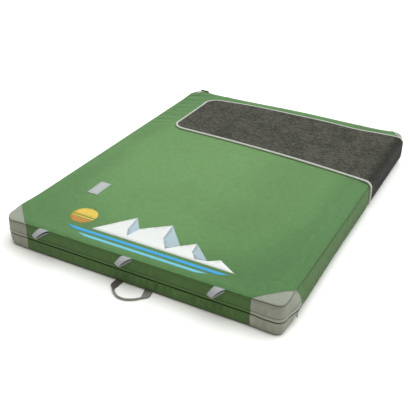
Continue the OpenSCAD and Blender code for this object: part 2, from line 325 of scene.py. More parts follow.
def map_range(mat, value, low, high, to_low=0.0, to_high=1.0, **settings):
    links = {"Value": value, "From Min": low, "From Max": high, "To Min": to_low, "To Max": to_high}
    return node(mat, "MapRange", links, **settings)["Result"]


def noise_node(mat, place, scale, detail=2.0, roughness=0.5):
    links = {"Vector": place, "Scale": scale, "Detail": detail, "Roughness": roughness}
    return node(mat, "TexNoise", links)["Fac"]


def ramp(mat, factor, low, high, dark, light):
    """Blends from dark to light as factor goes from low to high."""
    mix = node(mat, "Mix", {"Factor": map_range(mat, factor, low, high)}, data_type="RGBA")
    source = mix["Result"].node
    colours = [s for s in source.inputs if s.type == "RGBA"]
    for socket, value in zip(colours, (dark, light)):
        socket.default_value = (*value, 1)
    return [s for s in source.outputs if s.type == "RGBA"][0]


def bump(mat, height, distance, normal=None):
    links = {"Height": height, "Distance": distance, "Strength": 1.0}
    if normal:
        links["Normal"] = normal
    return node(mat, "Bump", links)["Normal"]


def sine(mat, value, period):
    return math_node(mat, "SINE", math_node(mat, "MULTIPLY", value, 2 * math.pi / period))


def plain_weave(mat, place, period):
    """Height of a plain weave with that thread spacing, on a surface that faces any way."""
    axes = node(mat, "SeparateXYZ", {"Vector": place})
    x, y, z = (sine(mat, axes[i], period) for i in range(3))
    parts = [math_node(mat, "MULTIPLY", a, b) for a, b in ((x, y), (y, z), (z, x))]
    return math_node(mat, "ADD", math_node(mat, "ADD", parts[0], parts[1]), parts[2])


def scaled(colour, factor):
    return tuple(min(1, c * factor) for c in colour)


def tinted(mat, colour, shade):
    return node(mat, "VectorMath", {0: colour, 1: shade}, operation="MULTIPLY")[0]


def painted_light_pool(mat):
    """Painted light: the top panel is lighter and bluer in its middle and darker towards its edges."""
    centred = node(mat, "VectorMath", {0: place_of(mat, "rest"), 1: (80 * MM, 0, 0)})[0]
    spread = node(mat, "VectorMath", {0: centred, 1: (1 / HALF_W, 1 / HALF_L, 0)},
                  operation="MULTIPLY")[0]
    away = node(mat, "VectorMath", {0: spread}, operation="LENGTH")["Value"]
    return ramp(mat, away, 0.2, 1.25, (1.36, 1.3, 1.44), (0.74, 0.83, 0.84))


def mottled(mat, scale, amount):
    """Patches of slightly uneven tone."""
    tone = noise_node(mat, place_of(mat, "rest"), scale, 2)
    return ramp(mat, tone, 0.35, 0.65, (1 - amount,) * 3, (1 + amount,) * 3)


def painted_side_shade(mat):
    """Painted shade: the carpet is darker from the shoulder on, down its side wall."""
    x = axis_of(mat, "rest", 0)
    return ramp(mat, x, HALF_W - 42 * MM, HALF_W - 6 * MM, WHITE, (0.27, 0.265, 0.2))


def seam_shadow(mat, seams):
    """Darkens the cloth where it dips into its seams: (height on the wall, half width, darkening)."""
    height = axis_of(mat, "raw", 2)
    total = 0.0
    for z, half, depth in seams:
        part = map_range(mat, away_from(mat, height, z), 0.0, half, depth, 0.0,
                         interpolation_type="SMOOTHSTEP")
        total = math_node(mat, "ADD", part, total)
    return ramp(mat, total, 0, 1, WHITE, (0, 0, 0))


def crease_shadow_and_highlight(mat):
    """Painted shadow in the creases, and a painted highlight on their crests."""
    depth = axis_of(mat, "hollow", 0)
    return ramp(mat, depth, -1.2 * MM, 2.0 * MM, (1.12, 1.11, 1.08), (0.62, 0.66, 0.62))


def border_shadow(mat):
    """A patch's turned-under border holds a line of shadow and dirt."""
    return ramp(mat, axis_of(mat, "border", 0), 0, 3 * MM, (0.45, 0.45, 0.42), WHITE)


def cloth_material(name, colour, period=1.1 * MM, contrast=0.1, depth=0.12 * MM, blotch=0.02):
    """Woven cloth: thread pattern, speckle, slow changes of tone and a soft sheen."""
    gloss = 0.75
    mat = new_material(name, Roughness=gloss, Sheen_Weight=0.1, Sheen_Roughness=0.45,
                       Specular_IOR_Level=0.25)
    place = place_of(mat, "rest")
    speckle = noise_node(mat, place, 240, 3, 0.7)
    slow = noise_node(mat, place, 6, 2)
    tone = ramp(mat, speckle, 0.35, 0.65, scaled(colour, 1 - contrast), scaled(colour, 1 + contrast))
    shade = ramp(mat, slow, 0.3, 0.7, (1 - blotch,) * 3, (1 + blotch,) * 3)
    connect(mat, "Base Color", tinted(mat, tone, shade))
    threads = plain_weave(mat, place, period)
    fuzz = noise_node(mat, place, 900, 2)
    connect(mat, "Normal", bump(mat, fuzz, 0.15 * MM, bump(mat, threads, depth)))
    connect(mat, "Roughness", map_range(mat, speckle, 0.3, 0.7, gloss - 0.07, gloss + 0.07))
    return mat


def shade_over(mat, *shades):
    """Multiplies more shading into a material's colour."""
    socket = mat.node_tree.nodes["Principled BSDF"].inputs["Base Color"]
    for shade in shades:
        connect(mat, "Base Color", tinted(mat, socket.links[0].from_socket, shade))
    return mat


def webbing_material(name, colour, rib=2.2 * MM):
    """Woven strap: ribs across it, thicker edges and a slightly shiny yarn."""
    mat = new_material(name, Roughness=0.6, Sheen_Weight=0.2, Sheen_Roughness=0.4,
                       Specular_IOR_Level=0.35)
    place = place_of(mat, "weave")
    axes = node(mat, "SeparateXYZ", {"Vector": place})
    chevron = math_node(mat, "ABSOLUTE", sine(mat, axes[0], 14 * MM))
    slanted = math_node(mat, "ADD", axes[1], math_node(mat, "MULTIPLY", chevron, 1.2 * MM))
    ribs = sine(mat, slanted, rib)
    cords = sine(mat, axes[0], 1.5 * MM)
    height = math_node(mat, "ADD", ribs, math_node(mat, "MULTIPLY", cords, 0.5))
    connect(mat, "Normal", bump(mat, height, 0.16 * MM))
    # The ribs' colour follows their height: painted shade in the grooves and a painted highlight on the
    # ribs and cords
    tone = ramp(mat, height, -1.2, 1.2, scaled(colour, 0.8), scaled(colour, 1.12))
    worn = noise_node(mat, place, 60, 3)
    shade = ramp(mat, worn, 0.35, 0.7, (0.93,) * 3, (1.06,) * 3)
    connect(mat, "Base Color", tinted(mat, tone, shade))
    return mat


def painted_end_shade(mat):
    """Painted shade on the handle's ends, which lie in the pad's shade; the grip in the middle keeps the
    webbing's colour.
    """
    away = away_from(mat, axis_of(mat, "weave", 1), HANDLE_RUN / 2)
    return ramp(mat, away, 60 * MM, 85 * MM, WHITE, (0.32, 0.3, 0.28))


def carpet_material():
    """Needle-punched carpet: mixed dark fibres, a nap combed along X and slow unevenness."""
    mat = new_material("carpet", Roughness=0.95, Sheen_Weight=0.06, Sheen_Roughness=0.6,
                       Specular_IOR_Level=0.12)
    place = place_of(mat, "rest")
    fibres = noise_node(mat, place, 170, 5, 0.8)
    combed = node(mat, "VectorMath", {0: place, 1: (0.5, 1.0, 1.0)}, operation="MULTIPLY")[0]
    tufts = noise_node(mat, combed, 130, 3, 0.7)
    slow = math_node(mat, "MULTIPLY", noise_node(mat, place, 14, 3), 0.3)
    dark, light = (0.013, 0.0125, 0.009), (0.079, 0.075, 0.055)
    tone = ramp(mat, fibres, 0.34, 0.68, dark, light)
    mixed = math_node(mat, "ADD", tufts, slow)
    shade = ramp(mat, mixed, 0.56, 0.74, (0.5, 0.5, 0.51), (1.4, 1.39, 1.36))
    connect(mat, "Base Color", tinted(mat, tone, shade))
    connect(mat, "Normal", bump(mat, fibres, 2.4 * MM, bump(mat, tufts, 1.6 * MM)))
    # Painted shade on the carpet's side wall
    return shade_over(mat, painted_side_shade(mat))


def foam_material(name, colour, cells):
    mat = new_material(name, Roughness=0.9, Specular_IOR_Level=0.2)
    place = place_of(mat, "rest")
    cell = node(mat, "TexVoronoi", {"Vector": place, "Scale": cells})["Distance"]
    connect(mat, "Base Color", ramp(mat, cell, 0.1, 0.6, scaled(colour, 1.05), scaled(colour, 0.85)))
    connect(mat, "Normal", bump(mat, cell, 0.4 * MM))
    return mat


def hard_material(name, colour, metallic, gloss, grain, depth, attribute=None):
    """Moulded plastic or metal with a fine grain and uneven gloss."""
    mat = new_material(name, Metallic=metallic, Roughness=gloss)
    place = place_of(mat, attribute)
    rub = noise_node(mat, place, 45, 3)
    connect(mat, "Base Color", ramp(mat, rub, 0.4, 0.75, colour, scaled(colour, 1.35)))
    connect(mat, "Roughness", map_range(mat, rub, 0.0, 1.0, gloss - 0.1, gloss + 0.1))
    connect(mat, "Normal", bump(mat, noise_node(mat, place, grain, 3), depth))
    return mat


GREEN = (0.088, 0.186, 0.054)
# (height, half width, darkening) of the seams on the walls
WALL_SEAMS = ((TOP_SEAM, 2.6 * MM, 0.45), (TOP_STITCH, 1.8 * MM, 0.14), (FLAP_STITCH, 2.6 * MM, 0.3),
              (ZIP_Z, 4.6 * MM, 0.75), (BASE_SEAM, 3 * MM, 0.4))
PATCH_SEAMS = ((TOP_SEAM, 3.4 * MM, 0.8), *WALL_SEAMS[1:])
TOP = cloth_material("cover_top", GREEN, contrast=0.12)
# The top panel carries a painted pool of light, painted shadow in its creases and painted shadow at its
# top seam
shade_over(TOP, painted_light_pool(TOP), mottled(TOP, 70, 0.05), crease_shadow_and_highlight(TOP),
           seam_shadow(TOP, WALL_SEAMS[:1]))
# The walls are the top's cloth in a darker green: painted shade, as they get less light than the top
SHADED_WALL = cloth_material("cover_wall_shaded", (0.06, 0.128, 0.031), contrast=0.12)
shade_over(SHADED_WALL, crease_shadow_and_highlight(SHADED_WALL), seam_shadow(SHADED_WALL, WALL_SEAMS))
BASE = cloth_material("base_fabric", (0.028, 0.031, 0.028), period=1.8 * MM, depth=0.3 * MM)
PATCH = cloth_material("patch_grey", (0.27, 0.28, 0.225), period=1.6 * MM, depth=0.2 * MM,
                       contrast=0.08, blotch=0.07)
shade_over(PATCH, crease_shadow_and_highlight(PATCH), seam_shadow(PATCH, PATCH_SEAMS), border_shadow(PATCH))
LABEL = cloth_material("label_grey", (0.343, 0.352, 0.34), period=0.9 * MM, contrast=0.06)
PADDING = cloth_material("padding", (0.03, 0.033, 0.03), period=2.4 * MM, depth=0.5 * MM)
BINDING = webbing_material("binding", (0.44, 0.45, 0.39), rib=1.6 * MM)
LIGHT_WEB = webbing_material("webbing_grey", (0.26, 0.265, 0.26))
DARK_WEB = webbing_material("webbing_dark", (0.04, 0.04, 0.03))
HANDLE_WEB = webbing_material("webbing_handle", (0.21, 0.2, 0.17))
# Painted shade on the handle's ends
shade_over(HANDLE_WEB, painted_end_shade(HANDLE_WEB))
CARPET = carpet_material()
CLOSED_FOAM = foam_material("closed_cell_foam", (0.35, 0.35, 0.33), 900)
OPEN_FOAM = foam_material("open_cell_foam", (0.5, 0.44, 0.28), 500)
THREAD_GREEN = cloth_material("thread_green", scaled(GREEN, 0.75), period=0.5 * MM)
THREAD_GREY = cloth_material("thread_grey", (0.3, 0.31, 0.28), period=0.5 * MM)
ZIP = hard_material("zip_nylon", (0.03, 0.025, 0.013), 0.0, 0.5, 900, 0.1 * MM, "rest")
BUCKLE = hard_material("buckle_plastic", (0.015, 0.015, 0.015), 0.0, 0.42, 700, 0.08 * MM)
ZIP_METAL = hard_material("zip_metal", (0.05, 0.05, 0.05), 0.6, 0.4, 500, 0.04 * MM)
HOOK_METAL = hard_material("hook_metal", (0.62, 0.63, 0.65), 1.0, 0.32, 300, 0.03 * MM)


def ink(name, colour):
    """Screen-printed ink, a little shinier than the cloth, with the weave showing through."""
    mat = new_material(name, Roughness=0.5, Specular_IOR_Level=0.4)
    place = place_of(mat, "rest")
    worn = noise_node(mat, place, 300, 3, 0.6)
    connect(mat, "Base Color", ramp(mat, worn, 0.3, 0.55, scaled(colour, 0.93), colour))
    connect(mat, "Normal", bump(mat, plain_weave(mat, place, 1.1 * MM), 0.08 * MM))
    return mat


# ---- the sewn cover's surface


def lines(low, high, step, marks):
    """Grid lines from low to high, at every mark and no more than step apart."""
    stops = sorted({low, high, *(m for m in marks if low < m < high)})
    made = [low]
    for a, b in zip(stops, stops[1:]):
        n = max(1, math.ceil((b - a) / step - 0.01))
        made += [a + (b - a) * i / n for i in range(1, n + 1)]
    return made


# Distances from its edges at which the cover's grid has lines
EDGE_LINES = [d * MM for d in (1.2, 3.5, 7, 12, 20, 32, 46)]


def both_ends(half, insets):
    """Places at the given distances inside both ends of a line from -half to half."""
    return [sign * (half - inset) for sign in (-1, 1) for inset in insets]


def box_grid(xs, ys, zs):
    """Closed quad mesh over a box, with its lines at the given places."""
    verts, index, faces = [], {}, []

    def vert(x, y, z):
        key = (x, y, z)
        if key not in index:
            index[key] = len(verts)
            verts.append(key)
        return index[key]

    def side(us, vs, place, flip):
        for u0, u1 in zip(us, us[1:]):
            for v0, v1 in zip(vs, vs[1:]):
                quad = (place(u0, v0), place(u1, v0), place(u1, v1), place(u0, v1))
                faces.append(quad[::-1] if flip else quad)

    for z, flip in ((zs[0], True), (zs[-1], False)):
        side(xs, ys, lambda x, y: vert(x, y, z), flip)
    for y, flip in ((ys[0], False), (ys[-1], True)):
        side(xs, zs, lambda x, z: vert(x, y, z), flip)
    for x, flip in ((xs[0], True), (xs[-1], False)):
        side(ys, zs, lambda y, z: vert(x, y, z), flip)
    return np.array(verts), faces


def inset_of(raw):
    """How far inside the plain box's nearest wall each point lies."""
    return np.minimum(HALF_W - abs(raw[:, 0]), HALF_L - abs(raw[:, 1]))


def walls_and_top(raw):
    """Which points of the plain box are on its walls, and which on its top."""
    return inset_of(raw) < TINY, raw[:, 2] > PAD_H - TINY


def crown(x, y):
    """1 in the middle of the top, falling to 0 at its edges."""
    return (1 - (x / HALF_W) ** 4) * (1 - (y / HALF_L) ** 4)


def at_edge(v, half):
    """1 at the pad's edge on the positive side of v, 0 from 60 mm inside it."""
    return rise(v, half - 60 * MM, 30 * MM)


def at_corners(x, y, reach):
    """1 at the pad's corners, falling to 0 at the distance reach from either of their edges."""
    return rise(abs(x), HALF_W - reach, reach) * rise(abs(y), HALF_L - reach, reach)


def edge_middles(raw):
    """Three weights: 1 along the middle of the right, left and far edges, 0 at the corners."""
    x, y = raw[:, 0], raw[:, 1]
    along_left = window(y, -HALF_L + 200 * MM, HALF_L - 90 * MM, 110 * MM)
    along_x = window(x, -HALF_W + 120 * MM, HALF_W - 120 * MM, 90 * MM)
    along_right = rise(y, 40 * MM - HALF_L, 60 * MM) * rise(-y, -HALF_L, 50 * MM)
    right = at_edge(x, HALF_W) * along_right
    return right, at_edge(-x, HALF_W) * along_left, at_edge(y, HALF_L) * along_x


def bare_right(x, y):
    """1 along the right wall from the near corner to the boot mat, and 0 elsewhere."""
    return at_edge(x, HALF_W) * rise(y, 25 * MM - HALF_L, 70 * MM) * rise(-y, -MAT_NEAR, 40 * MM)


def belly(x, y, z):
    """How far the right wall bellies out, most at its near end."""
    near = 1 - rise(y, 65 * MM - HALF_L, 450 * MM)
    return bare_right(x, y) * (7 + 6 * near) * MM * bell(z, 46 * MM, 30 * MM)


def zip_drop(x, y):
    """How far the zip's line dips along the right wall."""
    return 3 * MM * bare_right(x, y)


def near_corner(x, y, side, reach):
    """1 at the near left (side -1) or near right corner, falling to 0 at the distance reach."""
    return smooth(1 - np.hypot(x - side * HALF_W, y + HALF_L) / reach)


def corner_radius(corner, z):
    """Plan radius of a corner at height z."""
    top, base = TOP_CORNERS[corner], BASE_CORNERS[corner]
    return top + (base - top) * (1 - z / PAD_H) ** 2


def round_corners(x, y, z, half_w, half_l, shift=0.0):
    """Rounds a rectangle's corners in plan, and moves each point inwards by shift."""
    radii = [corner_radius(corner, z) + x * 0 for corner in TOP_CORNERS]
    corner = np.select([(x * side >= 0) & (y * end >= 0) for side, end in TOP_CORNERS], radii)
    cx = np.clip(x, corner - half_w, half_w - corner)
    cy = np.clip(y, corner - half_l, half_l - corner)
    out = np.hypot(x - cx, y - cy)
    square = np.maximum(abs(x - cx), abs(y - cy))
    grow = np.where(out > 0, (square - shift) / np.maximum(out, 1e-9), 1)
    return cx + (x - cx) * grow, cy + (y - cy) * grow


def rounded(raw):
    """Rounds a box's corners in plan, then its top and bottom edges."""
    x, y, z = raw.T
    right, left, far = edge_middles(raw)
    upper = z > PAD_H / 2
    inset = inset_of(raw)
    height = np.where(upper, PAD_H - z, z)
    top_r = TOP_R + (SHOULDER - TOP_R) * right + (7 * left + 12 * far) * MM
    base_r = (1 - right) * (BASE_R + (at_corners(x, y, 150 * MM) - 1) * 12 * MM) + right * RIGHT_BASE_R
    base_r -= 9 * MM * near_corner(x, y, 1, 110 * MM) * (1 - right)
    r = np.where(upper, np.minimum(top_r, SHOULDER), base_r)
    away = np.hypot(inset - r, height - r)
    on_edge = (inset < r) & (height < r)
    inset2 = np.where(on_edge, r + (inset - r) / away * r, inset)
    height2 = np.where(on_edge, r + (height - r) / away * r, height)
    x2, y2 = round_corners(x, y, z, HALF_W, HALF_L, inset2 - inset)
    return np.column_stack([x2, y2, np.where(upper, PAD_H - height2, height2)])


HARNESS_NODES = (
    "shoulder_pad_left", "shoulder_pad_right", "ladder_lock_left", "ladder_lock_right",
    "adjuster_webbing_left", "adjuster_webbing_right", "lower_anchors", "harness_yoke",
    "belt_wing_left", "belt_wing_right", "belt_buckle_male", "belt_buckle_female",
)


def harness_dent(x, y):
    """How far up the harness presses into the base, in metres."""
    room, soft = 7 * MM, 18 * MM
    dent = np.zeros_like(x)
    for name in HARNESS_NODES:
        low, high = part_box(name)
        along_x = window(x, low[0] - room, high[0] + room, soft)
        dent = np.maximum(dent, along_x * window(y, low[1] - room, high[1] + room, soft))
    return dent * 9.6 * MM


def swell(raw):
    """How far the foam pushes the cover out of the plain rounded box, along its normal."""
    x, y, z = raw.T
    right, _, far = edge_middles(raw)
    under_mat = right * rise(y, 100 * MM, 40 * MM)
    left_corner = at_corners(x, y, 70 * MM) * (x < 0)
    upper = np.sin(math.pi * np.clip((z - ZIP_Z) / (TOP_SEAM - ZIP_Z), 0, 1))
    lower = np.sin(math.pi * np.clip((z - BASE_SEAM) / (ZIP_Z - BASE_SEAM), 0, 1))
    bulge = (1.6 * MM * upper + 1.8 * MM * lower) * (1 - under_mat) * (1 - 0.8 * left_corner)
    near_right = rise(x, HALF_W - 90 * MM, 30 * MM) * rise(-y, HALF_L - 100 * MM, 40 * MM)
    bulge += belly(x, y, z) + near_right * bell(z, 36 * MM, 26 * MM) * 4 * MM
    uneven = 0.12 * MM * noise_at(raw, 5, 8.0) * rise(inset_of(raw), 0, 60 * MM)
    crest = 3.5 * MM * far * bell(x, 30 * MM, 190 * MM)
    wall, top = walls_and_top(raw)
    return np.where(wall, bulge, 0) + np.where(top, crown(x, y) * 0.8 * MM + crest + uneven, 0)


def creases(raw):
    """Seams, the zip's groove and wrinkles, as a distance along the cover's normal."""
    x, y, z = raw.T
    wall, top = walls_and_top(raw)
    # (height, half width and depth in millimetres) of each groove. The last two are piping, which
    # stands out on both sides of the zip
    pressed = ((ZIP_Z, 1.6, 3.4), (TOP_SEAM, 1.3, 1.3), (FLAP_STITCH, 1.3, 0.9), (TOP_STITCH, 1.3, 0.5),
               (BASE_SEAM, 2, 0.8), (ZIP_Z + 5.5 * MM, 3.2, -1.6), (ZIP_Z - 4 * MM, 2.2, -0.7))
    grooves = sum(bell(z, at, half * MM) * depth * MM for at, half, depth in pressed)
    # Gathers under the zip, strongest on the near wall's right half
    along = np.where(abs(y) > HALF_L - TINY, x, y)
    busy = 0.35 + 0.85 * window(x, 0.0, 0.4, 0.15) * (y < -HALF_L + TINY)
    streak = np.array([noise.noise(Vector((a * 62, h * 9, 4.0))) for a, h in zip(along, z)])
    hung = rise(-z, -ZIP_Z, 4 * MM) * rise(z, 3 * MM, 30 * MM)
    stood = rise(z, FLAP_STITCH, 5 * MM) * rise(-z, -TOP_SEAM, 22 * MM)
    wrinkles = streak * busy * (2.4 * MM * hung + 1.0 * MM * stood)
    # Creases that run in from the left edge, towards the far end
    phase = (y - 0.42 * (x + HALF_W)) / (50 * MM) + 0.6 * noise_at(raw, 11)
    reach = rise(-x, HALF_W - 150 * MM, 150 * MM) * rise(inset_of(raw), 8 * MM, 26 * MM)
    pulled = window(y, 300 * MM, 600 * MM, 170 * MM) * reach * (0.8 + 0.5 * noise_at(raw, 16, 3.0))
    folds = (bell(phase % 1, 0.5, 0.16) - 0.5 * bell(phase % 1, 0.8, 0.17)) * pulled * 2.4 * MM
    return np.where(wall, wrinkles - grooves, 0) - np.where(top, folds, 0)


def normals_of(verts, faces):
    """A unit normal for each vertex of a quad mesh."""
    quads = np.array(faces)
    across = np.cross(verts[quads[:, 2]] - verts[quads[:, 0]], verts[quads[:, 3]] - verts[quads[:, 1]])
    total = np.zeros_like(verts)
    for corner in range(4):
        np.add.at(total, quads[:, corner], across)
    return total / np.maximum(np.linalg.norm(total, axis=1, keepdims=True), 1e-12)


CLOTH_SETTINGS = {
    "quality": 5, "mass": 0.4, "tension_stiffness": 25, "compression_stiffness": 25,
    "bending_stiffness": 3, "shrink_min": -0.004, "use_pressure": True,
    "uniform_pressure_force": 4, "vertex_group_mass": "seams",
}


def puff(obj, pins, cap):
    """Blows the cover up a little as cloth over its foam. cap limits each vertex's travel."""
    scene = bpy.context.scene
    start = coordinates(obj.data)
    group = obj.vertex_groups.new(name="seams")
    for i in np.flatnonzero(pins > 0):
        group.add([int(i)], float(pins[i]), "REPLACE")
    cloth = obj.modifiers.new("cloth", "CLOTH")
    for key, value in CLOTH_SETTINGS.items():
        setattr(cloth.settings, key, value)
    cloth.settings.effector_weights.gravity = 0
    cloth.collision_settings.use_collision = False
    frames = 20
    for step in range(frames):
        scene.frame_set(step + 1)
    blown = obj.evaluated_get(bpy.context.evaluated_depsgraph_get())
    moved = coordinates(blown.data) - start
    obj.modifiers.remove(cloth)
    obj.vertex_groups.clear()
    scene.frame_set(1)
    travel = np.maximum(np.linalg.norm(moved, axis=1), 1e-9)
    moved *= (cap * np.tanh(travel / cap) / travel)[:, None]
    obj.data.vertices.foreach_set("co", (start + moved).astype(np.float32).ravel())


def cover_grid():
    """The plain box that the cover starts from, with lines where its seams and patches will be."""
    legs = [PATCH_LEG, NEAR_TRIANGLE, FAR_TRIANGLE]
    xs = lines(-HALF_W, HALF_W, 10 * MM, both_ends(HALF_W, EDGE_LINES + legs))
    crease_lines = [y * MM for y in range(200, 645, 5)]
    ys = lines(-HALF_L, HALF_L, 10 * MM, both_ends(HALF_L, EDGE_LINES + legs) + crease_lines)
    near_zip = [ZIP_Z + d * MM for d in (-8, -5, -3, -1.5, -0.7, 0.7, 1.5, 3, 6, 9, 11.5, 13, 14.5)]
    near_top = [PAD_H - d * MM for d in (1.6, 3, 4, 5, 6.6, 9.5, 11, 12.5, 15, 22)]
    near_base = [d * MM for d in (1.4, 3, 5, 8, 12, 18)]
    return box_grid(xs, ys, lines(0.0, PAD_H, 8 * MM, near_base + near_zip + near_top))


def sags(raw):
    """How far each point of the cover hangs down: the right edge, the zip's line and the near corners."""
    x, y, z = raw.T
    wall, _ = walls_and_top(raw)
    sagging = edge_middles(raw)[0] * window(y, -420 * MM, -60 * MM, 150 * MM)
    sag = sagging * bell(z, TOP_SEAM, 12 * MM) * 6 * MM
    dip = zip_drop(x, y) * rise(z, 5 * MM, 40 * MM) * rise(-z, -TOP_SEAM, 50 * MM)
    lifted = 4 * near_corner(x, y, 1, 150 * MM) - 6 * near_corner(x, y, -1, 110 * MM)
    return np.where(wall, sag + dip, 0) - lifted * MM * rise(z, ZIP_Z, TOP_SEAM - ZIP_Z)


def cover_surface():
    """The whole cover as one closed mesh. Each vertex keeps its place on the plain box as "raw"."""
    raw, faces = cover_grid()
    verts = rounded(raw)
    verts += normals_of(verts, faces) * swell(raw)[:, None]
    verts[:, 2] -= sags(raw)
    low = raw[:, 2] < TINY
    verts[low, 2] += harness_dent(raw[low, 0], raw[low, 1])
    made = piece("cover_blank", verts, faces, TOP)
    store(made.data, "raw", raw)
    wall, _ = walls_and_top(raw)
    z = raw[:, 2]
    sewn = np.maximum(bell(z, TOP_SEAM, 2 * MM), bell(z, ZIP_Z, 5 * MM))
    pins = np.where(z < 6 * MM, 1.0, np.where(wall, sewn, 0.0))
    puff(made, pins, np.where(wall, 2.5 * MM, 1.0 * MM))
    finer = made.modifiers.new("finer", "SUBSURF")
    finer.levels = 1
    mesh = bpy.data.meshes.new_from_object(made.evaluated_get(bpy.context.evaluated_depsgraph_get()))
    bpy.data.objects.remove(made)
    depth = creases(vectors_of(mesh, "raw"))
    at = coordinates(mesh) + rows_of(mesh.vertex_normals) * depth[:, None]
    store(mesh, "hollow", np.column_stack([-depth, depth * 0, depth * 0]))
    at[:, 2] = np.maximum(at[:, 2], 0.0)
    mesh.vertices.foreach_set("co", at.astype(np.float32).ravel())
    mesh.update()
    return mesh


SURFACE = cover_surface()
SURFACE_RAW = vectors_of(SURFACE, "raw")
SURFACE_AT = coordinates(SURFACE)
SURFACE_NORMALS = rows_of(SURFACE.vertex_normals)
SURFACE_HOLLOW = vectors_of(SURFACE, "hollow")
SURFACE_FACES = [tuple(p.vertices) for p in SURFACE.polygons]
SURFACE_TREE = BVHTree.FromPolygons([tuple(v) for v in SURFACE_AT], SURFACE_FACES)
FACE_RAW = np.array([SURFACE_RAW[list(f)].mean(axis=0) for f in SURFACE_FACES])
IS_TOP = FACE_RAW[:, 2] > TOP_SEAM
IS_UPPER = (FACE_RAW[:, 2] > ZIP_Z + ZIP_HALF) & ~IS_TOP
IS_BASE = FACE_RAW[:, 2] < BASE_SEAM
IS_LOWER = (FACE_RAW[:, 2] < ZIP_Z - ZIP_HALF) & ~IS_BASE


def on_top(x, y, lift=0.0):
    """(point, normal) of the top panel above (x, y)."""
    hit, normal, _, _ = SURFACE_TREE.ray_cast(Vector((x, y, 1)), Vector((0, 0, -1)))
    return hit + normal * lift, normal


def on_wall(x, y, z, out, lift=0.0):
    """(point, normal) of the wall at (x, y, z), found from outside along the direction out."""
    out = Vector(out).normalized()
    away = 200 * MM
    hit, normal, _, _ = SURFACE_TREE.ray_cast(Vector((x, y, z)) + out * away, -out)
    return hit + normal * lift, normal


def panel(name, chosen, mat, lift=0.0):
    """The chosen faces of the cover as a piece of cloth of its own."""
    faces = [SURFACE_FACES[i] for i in np.flatnonzero(chosen)]
    used = sorted({v for f in faces for v in f})
    index = {v: i for i, v in enumerate(used)}
    at = SURFACE_AT[used] + SURFACE_NORMALS[used] * lift
    made = piece(name, at, [tuple(index[v] for v in f) for f in faces], mat)
    store(made.data, "raw", SURFACE_RAW[used])
    store(made.data, "hollow", SURFACE_HOLLOW[used])
    return made


def cover_panels():
    """Top, base and the two wall bands, each from one end of the pad to the other."""
    for name, chosen, mat, node_name in (
        ("top_panel", IS_TOP, TOP, "top_cover"),
        ("base_panel", IS_BASE, BASE, "base_cover"),
        ("upper_wall", IS_UPPER, SHADED_WALL, "upper_wall"),
        ("lower_wall", IS_LOWER, SHADED_WALL, "lower_wall"),
    ):
        made = thicken(panel(name, chosen, mat), FABRIC_T)
        slot = "base_fabric" if mat is BASE else "cover_green"
        across_fold(stands_for(made, slot, "front_" + node_name, "back_" + node_name))


cover_panels()

# ---- corner patches


def trim(bm, faces, point, normal):
    """Cuts some faces of bm along a plane and removes their part on the plane's outer side."""
    geometry = {g for f in faces for g in (f, *f.edges, *f.verts)}
    cut = bmesh.ops.bisect_plane(bm, geom=list(geometry), plane_co=point, plane_no=normal, dist=1e-6)
    touched = {g for g in cut["geom"] if isinstance(g, bmesh.types.BMFace)}
    gone = [f for f in touched if (f.calc_center_median() - point).dot(normal) > 0]
    bmesh.ops.delete(bm, geom=gone, context="FACES")


def patch_planes(sx, sy):
    """A patch's three straight edges on the plain box, each as a point and an outward normal."""
    corner = Vector((sx * HALF_W, sy * HALF_L, PAD_H))
    triangle = NEAR_TRIANGLE if sy < 0 else FAR_TRIANGLE
    from_x = (corner - Vector((sx * PATCH_LEG, 0, 0)), Vector((-sx, 0, 0)))
    from_y = (corner - Vector((0, sy * (PATCH_LEG + 5 * MM), 0)),
              Vector((0, -sy, PATCH_SLANT)).normalized())
    slant = (corner - Vector((sx * triangle, 0, 0)), Vector((-sx, -sy, 0)).normalized())
    return from_x, from_y, slant


def patch(name, sx, sy, upper):
    """A reinforcement patch over one corner, cut out of the cover's surface laid flat on its box."""
    room = 150 * MM
    near = (sx * FACE_RAW[:, 0] > HALF_W - room) & (sy * FACE_RAW[:, 1] > HALF_L - room)
    made = panel(name, near & ((IS_UPPER | IS_TOP) if upper else IS_LOWER), PATCH, 0.9 * MM)
    bm = bmesh.new()
    bm.from_mesh(made.data)
    layers = bm.verts.layers.float_vector
    border = layers.new("border")
    rest, raw = layers["rest"], layers["raw"]
    for v in bm.verts:
        v.co = v[raw]

    def faces(top):
        return [f for f in bm.faces if (f.calc_center_median().z > PAD_H - TINY) == top]

    from_x, from_y, slant = patch_planes(sx, sy)
    trim(bm, faces(False), *from_x)
    trim(bm, faces(False), *from_y)
    if upper:
        trim(bm, faces(True), *slant)
    bmesh.ops.delete(bm, geom=[v for v in bm.verts if not v.link_faces], context="VERTS")
    for v in bm.verts:
        planes = (slant,) if v.co.z > PAD_H - TINY else (from_x, from_y)
        v[border] = (min((p - v.co).dot(n) for p, n in planes), 0, 0)
        v[raw] = v.co
        v.co = v[rest]
    bm.to_mesh(made.data)
    bm.free()
    stands_for(thicken(made, FABRIC_T), "patch_grey", name)
    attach(made, "front_half" if sy < 0 else "back_half")


for end, sy in (("near", -1), ("far", 1)):
    for side_name, sx in (("left", -1), ("right", 1)):
        for level in ("upper", "lower"):
            patch(f"{end}_{side_name}_patch_{level}", sx, sy, level == "upper")

# ---- foam inside the cover


